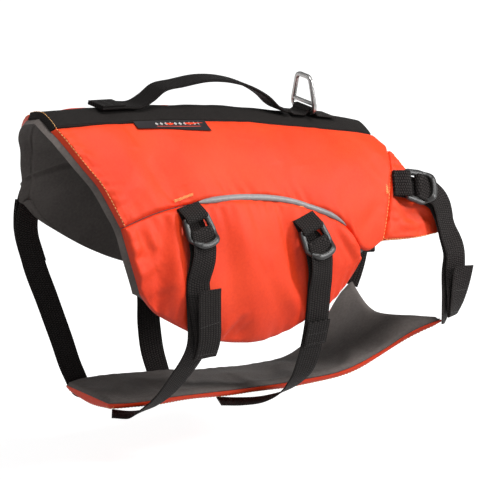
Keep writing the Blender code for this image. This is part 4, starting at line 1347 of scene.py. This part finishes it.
# %% [markdown]
# ## Belly pad
# The pad is a long foam slab with a grey upper face and an orange cover below. Its front forks into
# two arms for the neck straps. The upper face is crowned, its edges roll over, and it is crumpled.

# %% Belly pad
PAD_LINING = 0.0030
PAD_GAP = 0.0013
PAD_EDGE = 0.0040
PAD_CROWN = 0.0045
PAD_REAR = 0.052
PAD_FRONT_MIDDLE = 0.374
PAD_FRONT_CORNER = 0.396
#    x, top_z, half_width, side_tilt
PAD = np.array((
    (0.052, -0.262, 0.033, 0.00), (0.066, -0.263, 0.038, 0.00), (0.125, -0.267, 0.042, -0.03),
    (0.195, -0.275, 0.043, -0.09), (0.260, -0.280, 0.044, -0.13), (0.310, -0.278, 0.046, -0.13),
    (0.345, -0.263, 0.051, -0.07), (0.372, -0.244, 0.060, 0.00), (0.398, -0.234, 0.070, 0.00),
))
# Creases of the pad: from x, from y, to x, to y, width, depth.
PAD_CREASES = (
    (0.070, -0.030, 0.090, 0.004, 0.0050, 0.0015), (0.112, -0.036, 0.118, -0.004, 0.0060, 0.0011),
    (0.150, -0.030, 0.176, 0.010, 0.0070, 0.0013), (0.196, -0.038, 0.204, -0.010, 0.0050, 0.0014),
    (0.236, -0.030, 0.262, 0.006, 0.0080, 0.0013), (0.300, -0.040, 0.322, -0.014, 0.0060, 0.0015),
    (0.318, 0.004, 0.352, 0.030, 0.0065, 0.0015), (0.340, -0.044, 0.366, -0.020, 0.0060, 0.0014),
    (0.352, 0.010, 0.374, 0.046, 0.0060, 0.0013), (0.130, 0.010, 0.156, 0.034, 0.0070, 0.0012),
)


def pad_surface(rows=190, columns=56):
    """Top face: height and side tilt read from the rows, front edge bent by across to the 1.6."""
    u = np.linspace(0.0, 1.0, rows)[:, None]
    v = np.linspace(-1.0, 1.0, columns)[None, :]
    front = PAD_FRONT_MIDDLE + (PAD_FRONT_CORNER - PAD_FRONT_MIDDLE) * np.abs(v) ** 1.6
    x = PAD_REAR + (front - PAD_REAR) * u + 0.0 * v
    y = smooth(x, PAD[:, 0], PAD[:, 2]) * v
    z = smooth(x, PAD[:, 0], PAD[:, 1]) + smooth(x, PAD[:, 0], PAD[:, 3]) * y
    return x, y, z, v + 0 * x


def make_pad():
    x, y, z, v = pad_surface()
    rear, front, first, last = spans(np.stack([x, y, z], axis=-1))
    away = np.minimum(np.minimum(rear, front), np.minimum(first, last))
    uv = np.stack([rear, first], axis=-1).reshape(-1, 2)
    rise = rolled(away, 0.0075)
    wrinkle = (swell(x, y, 0.040, 0.0016, 41) + creases(x, y, PAD_CREASES)
               + puckers(first, rear, 0.0115, 0.0080, 0.0006)
               + puckers(last, rear, 0.0125, 0.0080, 0.0006, 2.0)
               + puckers(rear, first, 0.0100, 0.0070, 0.0005))
    wrinkle *= np.clip(away / 0.008, 0.0, 1.0)
    top = z - PAD_LINING * 0.9 * (1 - rise) + 0.0012 * rise + wrinkle
    under = z - PAD_LINING - 0.0003
    top = np.maximum(top, under + 0.0004)
    points = np.concatenate([np.stack([x, y, z_layer], -1).reshape(-1, 3) for z_layer in (top, under)])
    add_piece("belly_pad_upper", points, wall_faces(*x.shape), np.concatenate([uv, uv]), LINING,
              "jacket", ("belly_pad_lining",))
    surfaces["belly_pad_upper"] = np.stack([x, y, top], -1)
    cover = z - PAD_LINING - PAD_GAP * 0.4
    hem = groove(away, 0.0050, 0.0011, 0.0008)
    bottom = (z - PAD_LINING - PAD_GAP - PAD_EDGE * (0.25 + 0.75 * rise) - PAD_CROWN * (1 - v ** 2) * 0.9
              - hem - 0.8 * swell(x, y, 0.050, 0.0012, 43) * rise)
    wide = 1.0 + 0.0012 / smooth(x, PAD[:, 0], PAD[:, 2])
    points = np.concatenate([np.stack([x, y * wide, cover], -1).reshape(-1, 3),
                             np.stack([x, y * wide, bottom], -1).reshape(-1, 3)])
    add_piece("belly_pad_cover", points, wall_faces(*x.shape), np.concatenate([uv, uv]), ORANGE,
              "jacket", ("belly_pad_shell",))
    surfaces["belly_pad_cover"] = np.stack([x, y * wide, bottom], -1)
    print(f"  pad {rear.max():.3f} by {first.max():.3f} m")


make_pad()

# %% [markdown]
# ## Piping and label
# Reflective piping is a narrow woven tape folded round a cord and caught in the flap seam, so it is
# a half-round bead that thins to nothing at both ends. The label is a woven strip.

# %% Piping and label
PIPING_HALF = 0.0031
PIPING_START = {-1: 0.122, 1: 0.086}
PIPING_END = 0.284


def make_piping(word, side):
    """Half-ellipse section on the seam's points, its width scaled by the root of a sine at the ends."""
    rows = along(np.asarray(flap_seam(side), float), 400)
    rows = rows[(rows[:, 0] > PIPING_START[side]) & (rows[:, 0] < PIPING_END)][::2]
    x, angle = rows[:, 0], side * angle_at(rows[:, 0], rows[:, 1])
    share = np.linspace(0.0, 1.0, len(x))
    taper = np.clip(np.minimum(share, 1 - share) / 0.10, 0.0, 1.0) ** 0.6 * 0.85 + 0.15
    turn = np.linspace(0.0, np.pi, 11)
    across = np.concatenate([np.cos(turn), [0.0]])[None, :] * (PIPING_HALF * taper)[:, None]
    height = np.concatenate([np.sin(turn), [-0.15]])[None, :] * (0.0021 * taper)[:, None]
    span = torso_column(x, 3)[:, None]
    points = on_figure(x[:, None] + 0 * across, angle[:, None] + side * across / span,
                       SHELL_OUTER - 0.0004 + height)
    travel = run_length(on_figure(x, angle, np.full(len(x), SHELL_OUTER)))
    uv = np.stack([np.repeat(travel[:, None], points.shape[1], 1), across], axis=-1)
    add_piece("piping_tape_" + word, points.reshape(-1, 3), tube_faces(*points.shape[:2]),
              uv.reshape(-1, 2), TAPE, "jacket", ("reflective_piping_" + word,), 80.0)


def make_label():
    """Sheet from the band's edge, lying on the panel and lifting at its free corner."""
    x = np.linspace(0.086, 0.163, 70)[:, None]
    share = np.linspace(0.0, 1.0, 16)[None, :]
    reach = 0.0108 * (0.72 + 0.28 * (x - 0.086) / 0.077)
    start = angle_at_width(x, BAND_HALF + 0.0008)
    angle = -(start + share * reach / torso_column(x, 2))
    lift = SHELL_OUTER + 0.0010 + 0.0016 * share ** 2 + 0.0004 * np.sin((x - 0.086) * 90.0) * share
    faces = [on_figure(x + 0 * share, angle, lift + extra) for extra in (0.0007, 0.0)]
    travel, _, width, _ = spans(faces[0])
    uv = np.stack([travel, width], axis=-1).reshape(-1, 2)
    points = np.concatenate([faces[0].reshape(-1, 3), faces[1].reshape(-1, 3)])
    surfaces["label"] = faces[0]
    add_piece("label_cloth", points, wall_faces(*faces[0].shape[:2]), np.concatenate([uv, uv]), LABEL,
              "jacket", ("side_label",))


for word, side in SIDES:
    make_piping(word, side)
make_label()

# %% [markdown]
# ## Stitching
# A lockstitch shows as short raised lengths of thread with a gap between them. One stitch is a small
# tapered tube of a few dozen faces, and whole seams are arrays of it laid along lines on the panels.

# %% Stitches
STITCH_RINGS = 5
STITCH_CORNERS = 6


def grid_normals(points, towards):
    """Unit normals of a grid, turned to agree with a rough outward direction."""
    normals = unit(np.cross(np.gradient(points, axis=0), np.gradient(points, axis=1)))
    return normals * np.sign(np.sum(normals * towards(points), axis=-1, keepdims=True))


def from_spine(points):
    """Away from the line under the spine, for the saddle's pieces."""
    return points - np.array((0.0, 0.0, -0.10)) - points * (1.0, 0.0, 0.0)


def line_on(surface, edge_name, distance, towards=from_spine):
    """Line a fixed distance in from one edge of a grid: two neighbours blended by run length."""
    normals = grid_normals(surface, towards)
    both = np.concatenate([surface, normals], axis=-1)
    if edge_name in ("rear", "front"):
        both = both.transpose(1, 0, 2)
    if edge_name in ("front", "last"):
        both = both[:, ::-1]
    travel = run_length(both[..., :3], 1)
    index = np.clip(np.sum(travel < distance, axis=1), 1, travel.shape[1] - 1)[:, None]
    before, after = (np.take_along_axis(travel, index - k, 1) for k in (1, 0))
    part = np.clip((distance - before) / np.maximum(after - before, 1e-9), 0.0, 1.0)[..., None]
    low, high = (np.take_along_axis(both, (index - k)[..., None], 1) for k in (1, 0))
    line = (low + (high - low) * part)[:, 0]
    return line[:, :3], unit(line[:, 3:])


def stitch_array(lines, pitch, length, width, height, jitter=0.10):
    """Every stitch: centre + run times half length + across and normal times a tapered circle."""
    draw = np.random.default_rng(7)
    centres, runs, ups = [], [], []
    for points, normals in lines:
        travel = run_length(points)
        place = np.arange(pitch / 2, travel[-1], pitch)
        spot = np.stack([np.interp(place, travel, points[:, k]) for k in range(3)], 1)
        ahead = np.stack([np.interp(place + 5e-4, travel, points[:, k]) for k in range(3)], 1)
        behind = np.stack([np.interp(place - 5e-4, travel, points[:, k]) for k in range(3)], 1)
        up = unit(np.stack([np.interp(place, travel, normals[:, k]) for k in range(3)], 1))
        centres.append(spot)
        runs.append(unit(ahead - behind))
        ups.append(up)
    centre, run, up = np.concatenate(centres), np.concatenate(runs), np.concatenate(ups)
    across = unit(np.cross(run, up))
    run = unit(run + across * draw.normal(0.0, jitter, (len(run), 1)))
    across = unit(np.cross(run, up))
    share = np.linspace(-1.0, 1.0, STITCH_RINGS)
    swellings = np.maximum(np.sqrt(1 - share ** 2 * 0.97), 0.15)
    turn = np.linspace(0.0, 2 * np.pi, STITCH_CORNERS, endpoint=False)
    size = length * (1 + draw.normal(0.0, 0.06, len(run)))
    swelling = swellings[None, :, None, None]
    cosine, sine = np.cos(turn)[None, None, :, None], np.sin(turn)[None, None, :, None]
    points = (centre[:, None, None]
              + run[:, None, None] * (share[None, :, None, None] * size[:, None, None, None] / 2)
              + across[:, None, None] * (swelling * cosine * width / 2)
              + up[:, None, None] * (swelling * sine * height / 2))
    return points.reshape(-1, 3), len(run)


def add_stitches(name, lines, material, pitch=0.0034, length=0.0026, width=0.00075, height=0.0008):
    points, count = stitch_array(lines, pitch, length, width, height)
    size = STITCH_RINGS * STITCH_CORNERS
    index = np.arange(size).reshape(STITCH_RINGS, STITCH_CORNERS)
    sides = np.stack([index[:-1], np.roll(index[:-1], -1, 1), np.roll(index[1:], -1, 1), index[1:]], -1)
    caps = np.array([index[0, [0, 3, 2, 1]], index[0, [0, 5, 4, 3]],
                     index[-1, [0, 1, 2, 3]], index[-1, [0, 3, 4, 5]]])
    one = np.concatenate([sides.reshape(-1, 4), caps])
    faces = (one[None] + size * np.arange(count)[:, None, None]).reshape(-1, 4)
    add_piece(name, points, faces, points[:, :2], material, "jacket", (), 80.0)
    print(f"  {count} stitches")


def shifted(line, amount):
    """A stitched line raised along its own normals."""
    return line[0] + line[1] * amount, line[1]


def across_webbing(path, place, half, count=12, lift=WEB_THICK / 2):
    """Line across webbing at a place along it, with its normals."""
    middle, facing = path
    travel = run_length(middle)
    spot = np.array([np.interp(place, travel, middle[:, k]) for k in range(3)])
    ahead = np.array([np.interp(place + 1e-3, travel, middle[:, k]) for k in range(3)])
    out = unit(np.array([np.interp(place, travel, facing[:, k]) for k in range(3)]))
    side = unit(np.cross(ahead - spot, out))
    line = spot + np.linspace(-half, half, count)[:, None] * side + out * lift
    return line, np.tile(out, (count, 1))


def bar_tack(frame_axes, run, half, lift):
    """Dense zigzag across a tab: points alternate up and down the strap."""
    across = np.linspace(-half, half, 29)
    zigzag = run + 0.0011 * np.where(np.arange(29) % 2, 1.0, -1.0)
    line = in_frame(frame_axes, zigzag, np.full(29, lift), across)
    return line, np.tile(frame_axes[3], (29, 1))


# %% Lay the seams
def downwards(points):
    """The same direction, straight down, for every point."""
    return np.array((0.0, 0.0, -1.0)) + 0 * points


def lay_stitches():
    """Edge seams on the panels, then the pad, the bar tacks and the black seams on the webbing."""
    orange_lines = []
    for word, _ in SIDES:
        back = surfaces["back_panel_cloth_" + word]
        wing = surfaces["shoulder_wing_cloth_" + word]
        orange_lines += [line_on(back, "rear", 0.0048), line_on(back, "front", 0.0030),
                         line_on(wing, "front", 0.0040), line_on(wing, "last", 0.0040)]
    add_stitches("edge_stitching", [shifted(line, 0.0002) for line in orange_lines], THREAD)
    band = surfaces["spine_band_cloth"]
    add_stitches("band_end_stitching", [shifted(line_on(band, "rear", 0.0062), 0.0002)], THREAD,
                 0.0028, 0.0026)
    pad = surfaces["belly_pad_cover"]
    add_stitches("pad_stitching", [shifted(line_on(pad, name, 0.0050, downwards), 0.0002)
                                   for name in ("rear", "first", "last")], THREAD)
    tacks, dark = [], []
    for name, side, x, drop, lean, *rest in FASTENINGS:
        axes = tab_frame(side, x, drop, lean)
        tacks.append(bar_tack(axes, -0.0040, 0.0115, 0.0007))
        paths = strap_paths[name]
        length = run_length(paths["fold"][0])[-1]
        dark.append(across_webbing(paths["fold"], length * 0.50, 0.0110))
        dark.append(across_webbing(paths["fold"], length * 0.06, 0.0110))
    add_stitches("bar_tacks", tacks, THREAD, 0.0011, 0.0013, 0.0007, 0.0007)
    rear_end = handle_line(0.0, 0.088, HANDLE_THICK + 0.0006)
    handle = (rear_end, np.tile(UP, (len(rear_end), 1)))
    front_end = handle_line(0.250, 1.0, HANDLE_THICK / 2)
    front = (front_end, np.tile(UP, (len(front_end), 1)))
    dark += [across_webbing(handle, place, 0.0100) for place in (0.003, 0.012, 0.022)]
    dark += [across_webbing(front, 0.010, 0.0100, lift=HANDLE_THICK / 2)]
    add_stitches("black_stitching", dark, DARK_THREAD, 0.0030, 0.0024, 0.0007, 0.0006)


lay_stitches()

# %% [markdown]
# ## Cut sizes
# Each length of webbing is printed with its width and its length along its path.

for name, (width, length) in webbing_cuts.items():
    print(f"{name}: webbing {width:.4f} by {length:.3f} m")
